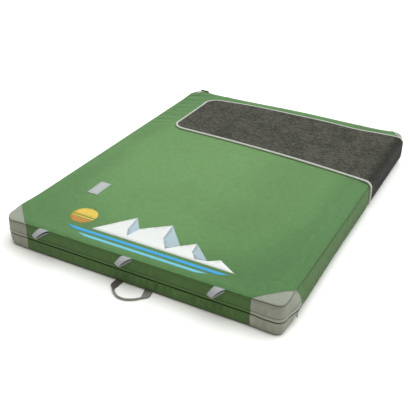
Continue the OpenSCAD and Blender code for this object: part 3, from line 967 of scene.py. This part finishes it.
def foam_layer(node_name, mat, z_gaps, insets, dented=False):
    """One layer of the foam, as a whole slab. insets are for its two faces."""
    low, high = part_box("front_" + node_name)
    near_ends = both_ends(1, [0.01, 0.02, 0.035, 0.05, 0.07, 0.1])
    step_x, step_y = (0.02, 0.015) if dented else (0.1, 0.03)
    raw, faces = box_grid(lines(-1, 1, step_x, near_ends), lines(-1, 1, step_y, near_ends), [0, 1])
    upper = raw[:, 2] > 0.5
    inset = np.where(upper, insets[1], insets[0])
    half_w, half_l = HALF_W - inset, HALF_L - inset
    raw[:, 0], raw[:, 1] = round_corners(
        raw[:, 0] * half_w, raw[:, 1] * half_l, low[2], half_w, half_l)
    raw[:, 2] = np.where(upper, high[2] - z_gaps[1], low[2] + z_gaps[0])
    if dented:
        raw[~upper, 2] += harness_dent(raw[~upper, 0], raw[~upper, 1])
    made = piece(node_name, raw, faces, mat, flat=True)
    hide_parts("front_" + node_name, "back_" + node_name)
    across_fold(made)


foam_layer("top_foam", CLOSED_FOAM, (0.1 * MM, 4 * MM), (7 * MM, 17 * MM))
foam_layer("core_foam", OPEN_FOAM, (0.1 * MM, 0.1 * MM), (7 * MM, 7 * MM))
foam_layer("base_foam", CLOSED_FOAM, (3 * MM, 0.1 * MM), (26 * MM, 7 * MM), dented=True)

# ---- outlines round the pad


def outline_points(inset, z, step=8 * MM):
    """(x, y, outward direction) round the pad's outline at height z, from its near left corner."""
    w, l = HALF_W - inset, HALF_L - inset
    corners = ((-1, -1), (1, -1), (1, 1), (-1, 1), (-1, -1))
    turns = 8  # steps round each corner
    points = []
    for i, (corner, after) in enumerate(zip(corners, corners[1:])):
        out_x, out_y = ((0, -1), (1, 0), (0, 1), (-1, 0))[i]
        r0, r1 = corner_radius(corner, z) - inset, corner_radius(after, z) - inset
        start = np.array([corner[0] * w - out_y * r0, corner[1] * l + out_x * r0])
        end = np.array([after[0] * w + out_y * r1, after[1] * l - out_x * r1])
        n = max(1, round(np.hypot(*(end - start)) / step))
        points += [(*(start + (end - start) * k / n), (out_x, out_y)) for k in range(n)]
        for k in range(turns):
            a = math.radians(90 * (i - 1) + 90 * k / turns)
            out = (math.cos(a), math.sin(a))
            points.append((after[0] * (w - r1) + r1 * out[0], after[1] * (l - r1) + r1 * out[1], out))
    return [(x + float(belly(x, y, z)), y, out) for x, y, out in points]


def zip_tape():
    """An upright ribbon behind the gap between the walls, all round the pad."""
    half_z, depth = 9 * MM, 0.6 * MM
    points = outline_points(3.6 * MM, ZIP_Z)
    verts = []
    for x, y, (out_x, out_y) in points:
        z = ZIP_Z - float(zip_drop(x, y))
        for back, up in ((0, -1), (0, 1), (depth, 1), (depth, -1)):
            verts.append((x - out_x * back, y - out_y * back, z + up * half_z))
    made = piece("zip_tape", verts, turned(tube_faces(len(points), 4, closed=True)), ZIP)
    across_fold(stands_for(made, "zip_nylon", "front_zip_tape", "back_zip_tape"))


def zip_coil():
    """The coil's teeth, in the gap between the walls."""
    half_along, half_out, half_z = 0.75 * MM, 0.7 * MM, 1.3 * MM
    verts, faces = [], []
    for x, y, (out_x, out_y) in outline_points(2.4 * MM, ZIP_Z, 2.4 * MM):
        out, along = Vector((out_x, out_y, 0)), Vector((-out_y, out_x, 0))
        middle = Vector((x, y, ZIP_Z - float(zip_drop(x, y))))
        faces += tube_faces(2, 4, len(verts))
        for up in (-1, 1):
            for a, b in ((-1, -1), (1, -1), (1, 1), (-1, 1)):
                narrow = 1 if a == up else 0.5
                verts.append(middle + Vector((0, 0, up * half_z)) + along * (a * half_along)
                             + out * (b * half_out * narrow))
    made = piece("zip_coil", verts, faces, ZIP)
    across_fold(stands_for(made, "zip_nylon", "front_zip_coil", "back_zip_coil"))


zip_tape()
zip_coil()

# ---- boot mat

# s is the distance along the carpet from its left end: over the flat top, the bend at the
# shoulder, and down the side wall to the hem
MAT_T = 4.8 * MM
MAT_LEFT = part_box("mat_top_binding")[0][0]
MAT_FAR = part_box("mat_top_binding")[1][1]
MAT_NEAR_LEFT = 226 * MM
MAT_NEAR_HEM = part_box("mat_hem")[0][1]
MAT_CORNER = 55 * MM
MAT_OUT = 0.5 * MM + MAT_T / 2
MAT_UP = 1.0 * MM + MAT_T / 2
SHOULDER_R = SHOULDER + MAT_OUT
MAT_FOOT_R = RIGHT_BASE_R + MAT_OUT
MAT_END_Z = 4 * MM
TOP_RUN = HALF_W + MAT_OUT - SHOULDER_R - MAT_LEFT
ARC_RUN = SHOULDER_R * math.pi / 2
SIDE_RUN = PAD_H + MAT_UP - SHOULDER_R - MAT_END_Z
BEND_END = TOP_RUN + ARC_RUN
MAT_RUN = BEND_END + SIDE_RUN
MAT_SPLIT = BEND_END + 30 * MM


def mat_limits(s):
    """Near and far edge of the mat at the distance s from its left end."""
    near = MAT_NEAR_LEFT + (MAT_NEAR - MAT_NEAR_LEFT) * (min(s, BEND_END) / BEND_END) ** 2
    near += (MAT_NEAR_HEM - MAT_NEAR) * max(s - BEND_END, 0.0) / SIDE_RUN
    far = MAT_FAR - 22 * MM * float(smooth(1 - s / (240 * MM)))
    far -= 12 * MM * float(bell(s, 690 * MM, 110 * MM))
    cut = MAT_CORNER - math.sqrt(MAT_CORNER**2 - max(MAT_CORNER - s, 0.0) ** 2)
    return near + cut, far - cut


def mat_point(s, y, h):
    """The point of the carpet s along it, at y, and h above its middle, as it lies on the pad."""
    near, far = mat_limits(max(s, 0.0))
    edge = min(y - near, far - y)
    lift = 1.6 * MM * float(smooth(1 - edge / (45 * MM)))
    lift += 0.7 * MM * noise.noise(Vector((s * 7, y * 7, 0)))
    lift -= 0.5 * MM * float(smooth(1 - min(edge, s + 1 * MM) / (9 * MM)))
    turn = min(max(s - TOP_RUN, 0.0), ARC_RUN) / SHOULDER_R
    nx, nz = math.sin(turn), math.cos(turn)
    if s < TOP_RUN:
        x = MAT_LEFT + s
        z = PAD_H + MAT_UP + crown(x, y) * 1.0 * MM
    else:
        x = HALF_W + MAT_OUT - SHOULDER_R * (1 - nx)
        z = PAD_H + MAT_UP - SHOULDER_R * (1 - nz) - max(s - BEND_END, 0.0)
    if z < RIGHT_BASE_R and nx > 0.5:
        below = (RIGHT_BASE_R - z) / MAT_FOOT_R
        nx, nz = math.sqrt(1 - below * below), -below
        x -= MAT_FOOT_R * (1 - nx)
    h += lift * (0.5 if s > BEND_END else 1)
    return Vector((x + nx * h, y, max(z + nz * h, 0.6 * MM)))


def mat_stations(low, high):
    """The distances along the carpet at which its mesh has a row of vertices."""
    marks = [low + d * MM for d in (2, 6, 13, 24, 38)] if low == 0 else []
    return lines(low, high, 9 * MM, marks + [TOP_RUN, BEND_END])


def mat_sheet(name, low, high):
    """A stretch of the carpet, from one distance along it to another, as a closed slab."""
    stations = mat_stations(low, high)
    cells = 50
    verts = [mat_point(s, y, h) for h in (MAT_T / 2, -MAT_T / 2) for s in stations
             for y in np.linspace(*mat_limits(s), cells + 1)]
    return piece(name, verts, slab_faces(len(stations) - 1, cells), CARPET)


# Cross-section of the binding: (inwards from the carpet's edge, height)
BINDING_W = 8 * MM
BINDING_PROFILE = [
    (-1.1 * MM, 0), (-0.9 * MM, 2.0 * MM), (0.6 * MM, 3.3 * MM), (3 * MM, 3.6 * MM),
    (BINDING_W - 1 * MM, 3.5 * MM), (BINDING_W, 3.0 * MM), (BINDING_W, 2.2 * MM),
    (BINDING_W, -2.2 * MM), (BINDING_W, -3.0 * MM), (BINDING_W - 1 * MM, -3.4 * MM),
    (3 * MM, -3.4 * MM), (0.6 * MM, -3.1 * MM), (-0.9 * MM, -2.0 * MM),
]


def edge_path(low, high):
    """(s, y) points along the mat's edge, up its near side, round its left end and back."""
    stations = mat_stations(low, high)
    near = [(s, mat_limits(s)[0]) for s in reversed(stations)]
    far = [(s, mat_limits(s)[1]) for s in stations]
    if low > 0:
        return near, far
    left_near, left_far = near[-1][1], far[0][1]
    n = 24
    left = [(0.0, left_near + (left_far - left_near) * i / n) for i in range(1, n)]
    return (near + left + far,)


def binding(name, low, high):
    """Tape folded over the carpet's edge."""
    verts, faces, weave = [], [], []
    for path in edge_path(low, high):
        faces += turned(tube_faces(len(path), len(BINDING_PROFILE), len(verts)))
        length = 0.0
        for i, (s, y) in enumerate(path):
            before, after = path[max(i - 1, 0)], path[min(i + 1, len(path) - 1)]
            ds, dy = after[0] - before[0], after[1] - before[1]
            size = math.hypot(ds, dy)
            length += math.hypot(s - path[i - 1][0], y - path[i - 1][1]) if i else 0
            for a, b in BINDING_PROFILE:
                verts.append(mat_point(s + dy / size * a, y - ds / size * a, b))
                weave.append((a, length, b))
    return piece(name, verts, faces, BINDING, weave)


def declare_sheet(low, high):
    """Works out the stations, edge limits and middle line of a stretch of the mat, and keeps none of
    them.
    """
    stations = mat_stations(low, high)
    limits = [mat_limits(s) for s in stations]
    path = [mat_point(s, (MAT_NEAR + MAT_FAR) / 2, 0) for s in stations]


def boot_mat(part, low, high):
    """One of the two stretches of the carpet, which meet on the side wall, with its binding."""
    name = "boot_mat_" + part
    sheet = stands_for(mat_sheet(name, low, high), "carpet", "mat_" + part)
    edge = stands_for(binding(name + "_binding", low, high), "binding", f"mat_{part}_binding")
    for made in (sheet, edge):
        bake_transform(made)
    declare_sheet(low, high)


boot_mat("top", 0.0, MAT_SPLIT)
boot_mat("side", MAT_SPLIT, MAT_RUN)


def mat_hem():
    """Tape that sews the mat's lower end to the pad's bottom seam."""
    path = [mat_point(MAT_RUN - 5 * MM, y, MAT_T / 2 + 0.9 * MM)
            for y in lines(MAT_NEAR_HEM + 4 * MM, MAT_FAR - 4 * MM, 15 * MM, [])]
    made = band("mat_hem_tape", path, Vector((0.6, 0, 0.8)), 10 * MM, 1.4 * MM, DARK_WEB)
    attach(stands_for(made, "carpet", "mat_hem"), "back_half")


mat_hem()

# ---- webbing on the cover


PLACES = ("left", "middle", "right")


def closure_loop(name):
    """A folded webbing loop that arches out of the near top seam and leans to the left."""
    x0 = middle_of(name)[0]
    seam = on_wall(x0, -HALF_L, TOP_SEAM, (0, -1, 0))[0]
    outs = [(-4, -0.5), (3, 3.2), (10, 6.2), (18, 6.4), (26, 3.4), (33, -1.4), (37.5, -6.0),
            (38.8, -8.8), (36.5, -10.2), (30, -8.0), (22, -5.2), (14, -3.4), (6, -3.2), (-4, -3.4)]
    lean, reach = -16 * MM, 39
    path = spline([seam + Vector((lean * (d / reach) ** 1.5 if d > 0 else 0, -d * MM, h * MM))
                   for d, h in outs], 4)
    yaw = math.radians(-22)
    across, widths = [], []
    for p in path:
        part = float(smooth((seam.y - p.y) / (reach * MM)))
        across.append(Vector((math.cos(yaw * part), math.sin(yaw * part), 0)))
        widths.append((32 - 9 * part) * MM)
    made = band(name + "_webbing", path, across, widths, 1.5 * MM, LIGHT_WEB)
    stands_for(made, "webbing_grey", name)
    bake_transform(made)


for place in PLACES:
    closure_loop("closure_loop_" + place)


def carry_handle():
    """Webbing sewn into the bottom seam of the near wall. Its bow is folded double into a narrow grip."""
    x0 = middle_of("carry_handle")[0]
    plan = [(-52, 14, 5.5), (-52, 5, 3.5), (-53, -8, 2.2), (-54, -22, 2.0), (-48, -40, 3.6),
            (-35, -57, 5.0), (-12, -71, 5.4), (12, -72, 5.4), (33, -63, 5.4), (50, -47, 4.6),
            (59, -26, 3.2), (56, -8, 2.2), (53, 5, 3.5), (53, 14, 5.5)]
    path = spline([(x0 + x * MM, -HALF_L + y * MM, z * MM) for x, y, z in plan], 6)
    across, widths, depths = [], [], []
    for p, along in zip(path, directions(path)):
        grip = float(smooth((-HALF_L - 22 * MM - p.y) / (26 * MM)))
        bank = math.radians(38) * grip
        outward = along.cross(Vector((0, 0, 1))).normalized()
        across.append(outward * math.cos(bank) + Vector((0, 0, 1)) * math.sin(bank))
        widths.append((27 - 19 * grip) * MM)
        depths.append((2.2 + 2.6 * grip) * MM)
    made = band("carry_handle_webbing", path, across, widths, depths, HANDLE_WEB)
    stands_for(made, "webbing_dark", "carry_handle")
    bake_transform(made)


carry_handle()


def corner_tab():
    """Doubled tab that stands up at the far left corner."""
    low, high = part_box("corner_tab")
    heights = [(2.2, 80), (2.6, 92), (1.4, 101), (-1.0, 106.5), (-3.6, 107.6), (-4.8, 105),
               (-2.6, 100.5), (0.6, 94), (1.0, 82)]
    x0, y0 = (low[0] + high[0]) / 2, HALF_L + 2 * MM
    path = spline([(x0, y0 + y * MM, z * MM) for y, z in heights], 4)
    made = band("corner_tab_webbing", path, ALONG_X, high[0] - low[0], 1.5 * MM, DARK_WEB)
    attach(stands_for(made, "webbing_dark", "corner_tab"), "back_half")


corner_tab()


def label_patch():
    """Blank woven label sewn flat on the top panel."""
    low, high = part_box("label_patch")
    xs, ys = (lines(a, b, 5 * MM, [a + 1 * MM, b - 1 * MM]) for a, b in zip(low[:2], high[:2]))
    verts = []
    for x in xs:
        for y in ys:
            edge = min(x - low[0], high[0] - x, y - low[1], high[1] - y)
            bow = 1.4 * MM * (1 - abs(2 * (x - low[0]) / (high[0] - low[0]) - 1) ** 4)
            verts.append(on_top(x, y, 1.5 * MM + bow * float(rise(edge, 0, 12 * MM)))[0])
    faces = grid_faces(len(xs) - 1, len(ys) - 1)
    made = thicken(piece("label_patch_cloth", verts, faces, LABEL), 1.4 * MM)
    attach(stands_for(made, "webbing_grey", "label_patch"), "front_half")


label_patch()


def closure_strap(place):
    """Strap sewn under the far top seam, with its end folded round the hook's bar."""
    name = "closure_strap_" + place
    low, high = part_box(name)
    x0 = (low[0] + high[0]) / 2
    eye, eye_z = high[1] - 4.8 * MM, low[2] + 4.8 * MM
    seam_z = TOP_SEAM - 2 * MM
    turn = [(eye + 3.9 * MM * math.sin(a), eye_z - 3.9 * MM * math.cos(a))
            for a in (math.radians(d) for d in range(-90, 181, 30))]
    down = [on_wall(x0, HALF_L, seam_z + d * MM, (0, 1, 0), 1.0 * MM)[0] for d in (1, -7, -18)]
    path = [(p.y, p.z) for p in down] + [(low[1] + 0.9 * MM, eye_z + 14 * MM)]
    path += turn + [(low[1] + 2.6 * MM, eye_z + 12 * MM), (low[1] + 2.4 * MM, eye_z + 26 * MM)]
    path = spline([(x0, y, z) for y, z in path], 3)
    made = band(name + "_webbing", path, ALONG_X, high[0] - low[0], 1.4 * MM, DARK_WEB)
    stands_for(made, "webbing_dark", name)
    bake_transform(made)


for place in PLACES:
    closure_strap(place)

# ---- carried-over CAD nodes


def soften_edges(made, width):
    edge = made.modifiers.new("edges", "BEVEL")
    edge.width = width
    edge.segments = 2
    edge.limit_method = "ANGLE"


def finish_node(name, mat, bevel):
    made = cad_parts[name]
    made.data.materials.clear()
    made.data.materials.append(mat)
    soften_edges(made, bevel)


for place in PLACES:
    finish_node("closure_hook_" + place, HOOK_METAL, 0.5 * MM)
for name in ("ladder_lock_left", "ladder_lock_right", "belt_buckle_male", "belt_buckle_female"):
    finish_node(name, BUCKLE, 0.6 * MM)


def zip_part(name):
    """The zip's slider or its puller, on the zip's line where the wall bellies out."""
    y = middle_of("zip_slider")[1]
    shift = Vector((float(belly(HALF_W, y, ZIP_Z)) - 3 * MM, 0, -float(zip_drop(HALF_W, y))))
    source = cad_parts[name].data
    verts = [v.co + shift for v in source.vertices]
    faces = [tuple(p.vertices) for p in source.polygons]
    made = piece(name + "_metal", verts, faces, ZIP_METAL, flat=True)
    soften_edges(made, 0.3 * MM)
    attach(stands_for(made, "zip_metal", name), name)


zip_part("zip_slider")
zip_part("zip_puller")

# ---- carry harness


def cushion(name, length, width, thick, place):
    """A padded strap: crowned, round at one end, bound at its edge and quilted in bars across it."""
    rows, cols = max(8, round(length / (9 * MM))), 14
    verts = []
    r = width / 2
    for side_sign in (1, -1):
        for s in np.linspace(0, length, rows + 1):
            half = math.sqrt(max(r * r - max(s - length + r, 0.0) ** 2, (0.05 * r) ** 2))
            ends = float(smooth(min(s, length - s) / (7 * MM) + 0.25))
            bar = float(bell(math.sin(math.pi * s / (46 * MM)), 0, 0.12)) * (side_sign < 0)
            for j in range(cols + 1):
                v = math.sin((j / cols - 0.5) * math.pi)
                t = thick * (0.28 + 0.22 * (1 - abs(v) ** 3) * ends * (1 - 0.25 * bar))
                verts.append(place(s, v * half, side_sign * t))
    made = piece(name + "_cushion", verts, slab_faces(rows, cols), PADDING)
    stands_for(made, "padding", name)
    return made


def shoulder_strap(side_name):
    """Padded strap, and the webbing that comes through its ladder lock to the lower anchors."""
    body = "shoulder_strap_" + side_name
    low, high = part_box("shoulder_pad_" + side_name)
    y0, z0 = middle_of("shoulder_pad_" + side_name)[1:]
    pad = cushion("shoulder_pad_" + side_name, high[0] - low[0], high[1] - low[1], high[2] - low[2],
                  lambda s, v, h: (low[0] + s, y0 + v, z0 + h))
    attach(pad, body)
    lock_low, lock_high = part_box("ladder_lock_" + side_name)
    webbing = "adjuster_webbing_" + side_name
    web_low, web_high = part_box(webbing)
    middle_x, _, z = middle_of(webbing)
    anchor_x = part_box("lower_anchors")[0][0]
    stops = [(lock_low[0] + 2 * MM, lock_low[2] + 1.0 * MM),
             (lock_high[0] - 8 * MM, lock_low[2] - 0.2 * MM),
             (lock_high[0] + 8 * MM, z - 1 * MM), (middle_x, z),
             (web_high[0] - 10 * MM, z), (anchor_x + 8 * MM, z + 1.5 * MM)]
    path = spline([(x, y0, height) for x, height in stops], 8)
    made = band(webbing + "_strap", path, ALONG_Y, web_high[1] - web_low[1], 1.5 * MM, DARK_WEB)
    stands_for(made, "webbing_dark", webbing)
    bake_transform(made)


def belt_half(side_name, out):
    """Padded wing and its webbing, which run towards out, -1 or 1 along Y."""
    body = "belt_" + side_name
    wing_node, webbing = "belt_wing_" + side_name, "belt_webbing_" + side_name
    low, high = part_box(wing_node)
    x0, _, z0 = middle_of(wing_node)
    start = high[1] if out < 0 else low[1]
    wing = cushion(wing_node, high[1] - low[1], high[0] - low[0], high[2] - low[2],
                   lambda s, v, h: (x0 - out * v, start + out * s, z0 + h))
    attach(wing, body)
    low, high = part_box(webbing)
    inner, outer = (high[1], low[1]) if out < 0 else (low[1], high[1])
    path = [Vector((x0, y, middle_of(webbing)[2]))
            for y in np.linspace(inner - out * 14 * MM, outer + out * 3 * MM, 12)]
    made = band(webbing + "_strap", path, ALONG_X, high[0] - low[0], 1.5 * MM, DARK_WEB)
    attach(stands_for(made, "webbing_dark", webbing), body)


def harness_anchors():
    """The yoke that the shoulder straps hang from, and their lower anchors."""
    low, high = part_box("harness_yoke")
    x0, z = middle_of("harness_yoke")[0], low[2] + 0.2 * MM
    path = [Vector((x0, y, z)) for y in lines(low[1], high[1], 12 * MM, [])]
    yoke = band("harness_yoke_panel", path, ALONG_X, high[0] - low[0], 1.6 * MM, DARK_WEB)
    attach(stands_for(yoke, "padding", "harness_yoke"), "back_half")
    low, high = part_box("lower_anchors")
    width = 40 * MM
    for i, y0 in enumerate((low[1] + width / 2, high[1] - width / 2)):
        path = [Vector((x, y0, low[2] + 1.2 * MM + 2.2 * MM * ((x - low[0]) / (high[0] - low[0]))))
                for x in lines(low[0], high[0], 4 * MM, [])]
        made = band(f"lower_anchor_{i + 1}", path, ALONG_Y, width, 1.8 * MM, DARK_WEB)
        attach(stands_for(made, "webbing_dark", "lower_anchors"), "back_half")


for side_name, out in (("left", -1), ("right", 1)):
    shoulder_strap(side_name)
    belt_half(side_name, out)
harness_anchors()

# ---- print on the top panel


def print_shape(name, outline, mat, lift):
    """A printed shape that lies on the top panel."""
    bm = bmesh.new()
    bm.faces.new([bm.verts.new((x, y, 0)) for x, y in outline])
    for axis in (0, 1):
        values = [p[axis] for p in outline]
        for cut in lines(min(values), max(values), 20 * MM, [])[1:-1]:
            point, normal = Vector((0, 0, 0)), Vector((0, 0, 0))
            point[axis], normal[axis] = cut, 1
            geometry = bm.verts[:] + bm.edges[:] + bm.faces[:]
            bmesh.ops.bisect_plane(bm, geom=geometry, plane_co=point, plane_no=normal)
    bm.normal_update()
    if bm.faces[:][0].normal.z < 0:
        bmesh.ops.reverse_faces(bm, faces=bm.faces[:])
    for v in bm.verts:
        v.co = on_top(v.co.x, v.co.y, lift)[0]
    verts = [v.co.copy() for v in bm.verts]
    bm.verts.index_update()
    faces = [tuple(v.index for v in f.verts) for f in bm.faces]
    bm.free()
    made = thicken(piece(name, verts, faces, mat), 0.2 * MM)
    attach(made, "front_half")


def disc_band(r, low, high):
    """The part of a disc between two heights, as its outline."""
    heights = np.linspace(low, high, 12)
    right = [(math.sqrt(max(r * r - y * y, 0.0)), y) for y in heights]
    left = [(-x, y) for x, y in reversed(right)]
    return right + (left[1:] if high >= r else left)


def mountain_print():
    """A generic range of peaks with a low sun and a lake, without letters.

    Outlines are in millimetres from the pad's near left corner.
    """
    white = ink("ink_white", (0.6, 0.6, 0.56))
    yellow = ink("ink_yellow", (0.58, 0.4, 0.05))
    orange = ink("ink_orange", (0.6, 0.22, 0.03))
    blue = ink("ink_blue", (0.03, 0.27, 0.5))
    pale = ink("ink_pale_blue", (0.13, 0.42, 0.5))
    shade = ink("ink_shade", (0.3, 0.38, 0.4))
    peaks = ((300, 78), (395, 206), (437, 150), (520, 221), (600, 128), (640, 165), (712, 96),
             (745, 120), (812, 78))
    slopes = (((395, 206), (437, 150), (424, 96), (404, 132)),
              ((520, 221), (600, 128), (566, 92), (532, 140)),
              ((640, 165), (712, 96), (672, 88), (648, 118)))
    sun_x, sun_y, sun_r = 232, 132, 46
    sun_bands = ((-2, 46, yellow), (-14, -6, yellow), (-25, -18, orange), (-36, -29, orange),
                 (-43, -39, orange))
    shapes = [("peaks", peaks, white)]
    shapes += [(f"slope_{i + 1}", slope, shade) for i, slope in enumerate(slopes)]
    for i, (low, high, colour) in enumerate(sun_bands):
        outline = [(sun_x + x, sun_y + y) for x, y in disc_band(sun_r, low, high)]
        shapes.append((f"sun_{i + 1}", outline, colour))
    shapes.append(("lake", ((214, 64), (800, 64), (770, 50), (244, 50)), blue))
    shapes.append(("shore", ((270, 40), (744, 40), (706, 28), (308, 28)), pale))
    for name, outline, colour in shapes:
        at = [(x * MM - HALF_W, y * MM - HALF_L) for x, y in outline]
        print_shape("print_" + name, at, colour, 0.5 * MM if colour == shade else 0.35 * MM)


mountain_print()

# ---- stitching


def top_seam_stitches():
    """Topstitching beside the top seam."""
    run = [on_top(x, y, 0.15 * MM) for x, y, _ in outline_points(10 * MM, PAD_H, 20 * MM)]
    made = stitches("top_seam_stitches", run, THREAD_GREEN)
    across_fold(made)


def label_stitches():
    """Stitching just inside the label's edge."""
    low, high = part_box("label_patch")
    inset = 3 * MM
    corners = [(low[0], low[1]), (high[0], low[1]), (high[0], high[1]), (low[0], high[1])]
    run = []
    for start, end in zip(corners, corners[1:] + corners[:1]):
        for t in np.linspace(0, 1, 8)[:-1]:
            x, y = (min(max(a + (b - a) * t, lowest + inset), highest - inset)
                    for a, b, lowest, highest in zip(start, end, low, high))
            run.append(on_top(x, y, 1.6 * MM))
    made = stitches("label_stitches", run, THREAD_GREY)
    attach(made, "front_half")


top_seam_stitches()
label_stitches()

# ---- floor, light and camera


def studio():
    """Pale floor, soft cool light from above and behind, and a weak warm surround."""
    floor_mat = new_material("floor", Roughness=0.9, Specular_IOR_Level=0.1)
    tone = noise_node(floor_mat, place_of(floor_mat, None), 3)
    pale = ramp(floor_mat, tone, 0.3, 0.7, (0.8, 0.775, 0.725), (0.82, 0.795, 0.745))
    connect(floor_mat, "Base Color", pale)
    half = 80  # metres
    floor = piece("floor", [(-half, -half, 0), (half, -half, 0), (half, half, 0), (-half, half, 0)],
                  [(0, 1, 2, 3)], floor_mat)
    world = bpy.data.worlds.new("studio")
    bpy.context.scene.world = world
    world.use_nodes = True
    surround = world.node_tree.nodes["Background"].inputs
    surround["Color"].default_value = (1, 0.97, 0.88, 1)
    surround["Strength"].default_value = 0.5
    light = bpy.data.lights.new("sky", "SUN")
    light.energy = 4.3
    light.angle = math.radians(80)
    light.color = (0.86, 0.92, 1.0)
    lamp = bpy.data.objects.new("sky", light)
    lamp.rotation_euler = Vector((-0.19, -0.25, -0.95)).to_track_quat("-Z", "Y").to_euler()
    bpy.context.scene.collection.objects.link(lamp)


def camera():
    """Camera at the photograph's angle: pitch, heading and roll in degrees, place in metres."""
    pitch, heading, roll = (math.radians(a) for a in (30.485, 27.141, 1.262))
    ahead = Vector((-math.sin(heading), math.cos(heading), 0))
    forward = ahead * math.cos(pitch) - Vector((0, 0, math.sin(pitch)))
    flat_right = Vector((math.cos(heading), math.sin(heading), 0))
    flat_up = flat_right.cross(forward)
    right = flat_right * math.cos(roll) + flat_up * math.sin(roll)
    up = flat_up * math.cos(roll) - flat_right * math.sin(roll)
    data = bpy.data.cameras.new("camera")
    data.lens = 61.89
    data.sensor_width = 36
    made = bpy.data.objects.new("camera", data)
    turn = Matrix((right, up, -forward)).transposed()
    made.matrix_world = Matrix.Translation((1.020, -2.148, 1.336)) @ turn.to_4x4()
    bpy.context.scene.collection.objects.link(made)
    bpy.context.scene.camera = made


studio()
camera()
bpy.context.scene.view_settings.view_transform = "Standard"

bpy.context.view_layer.update()
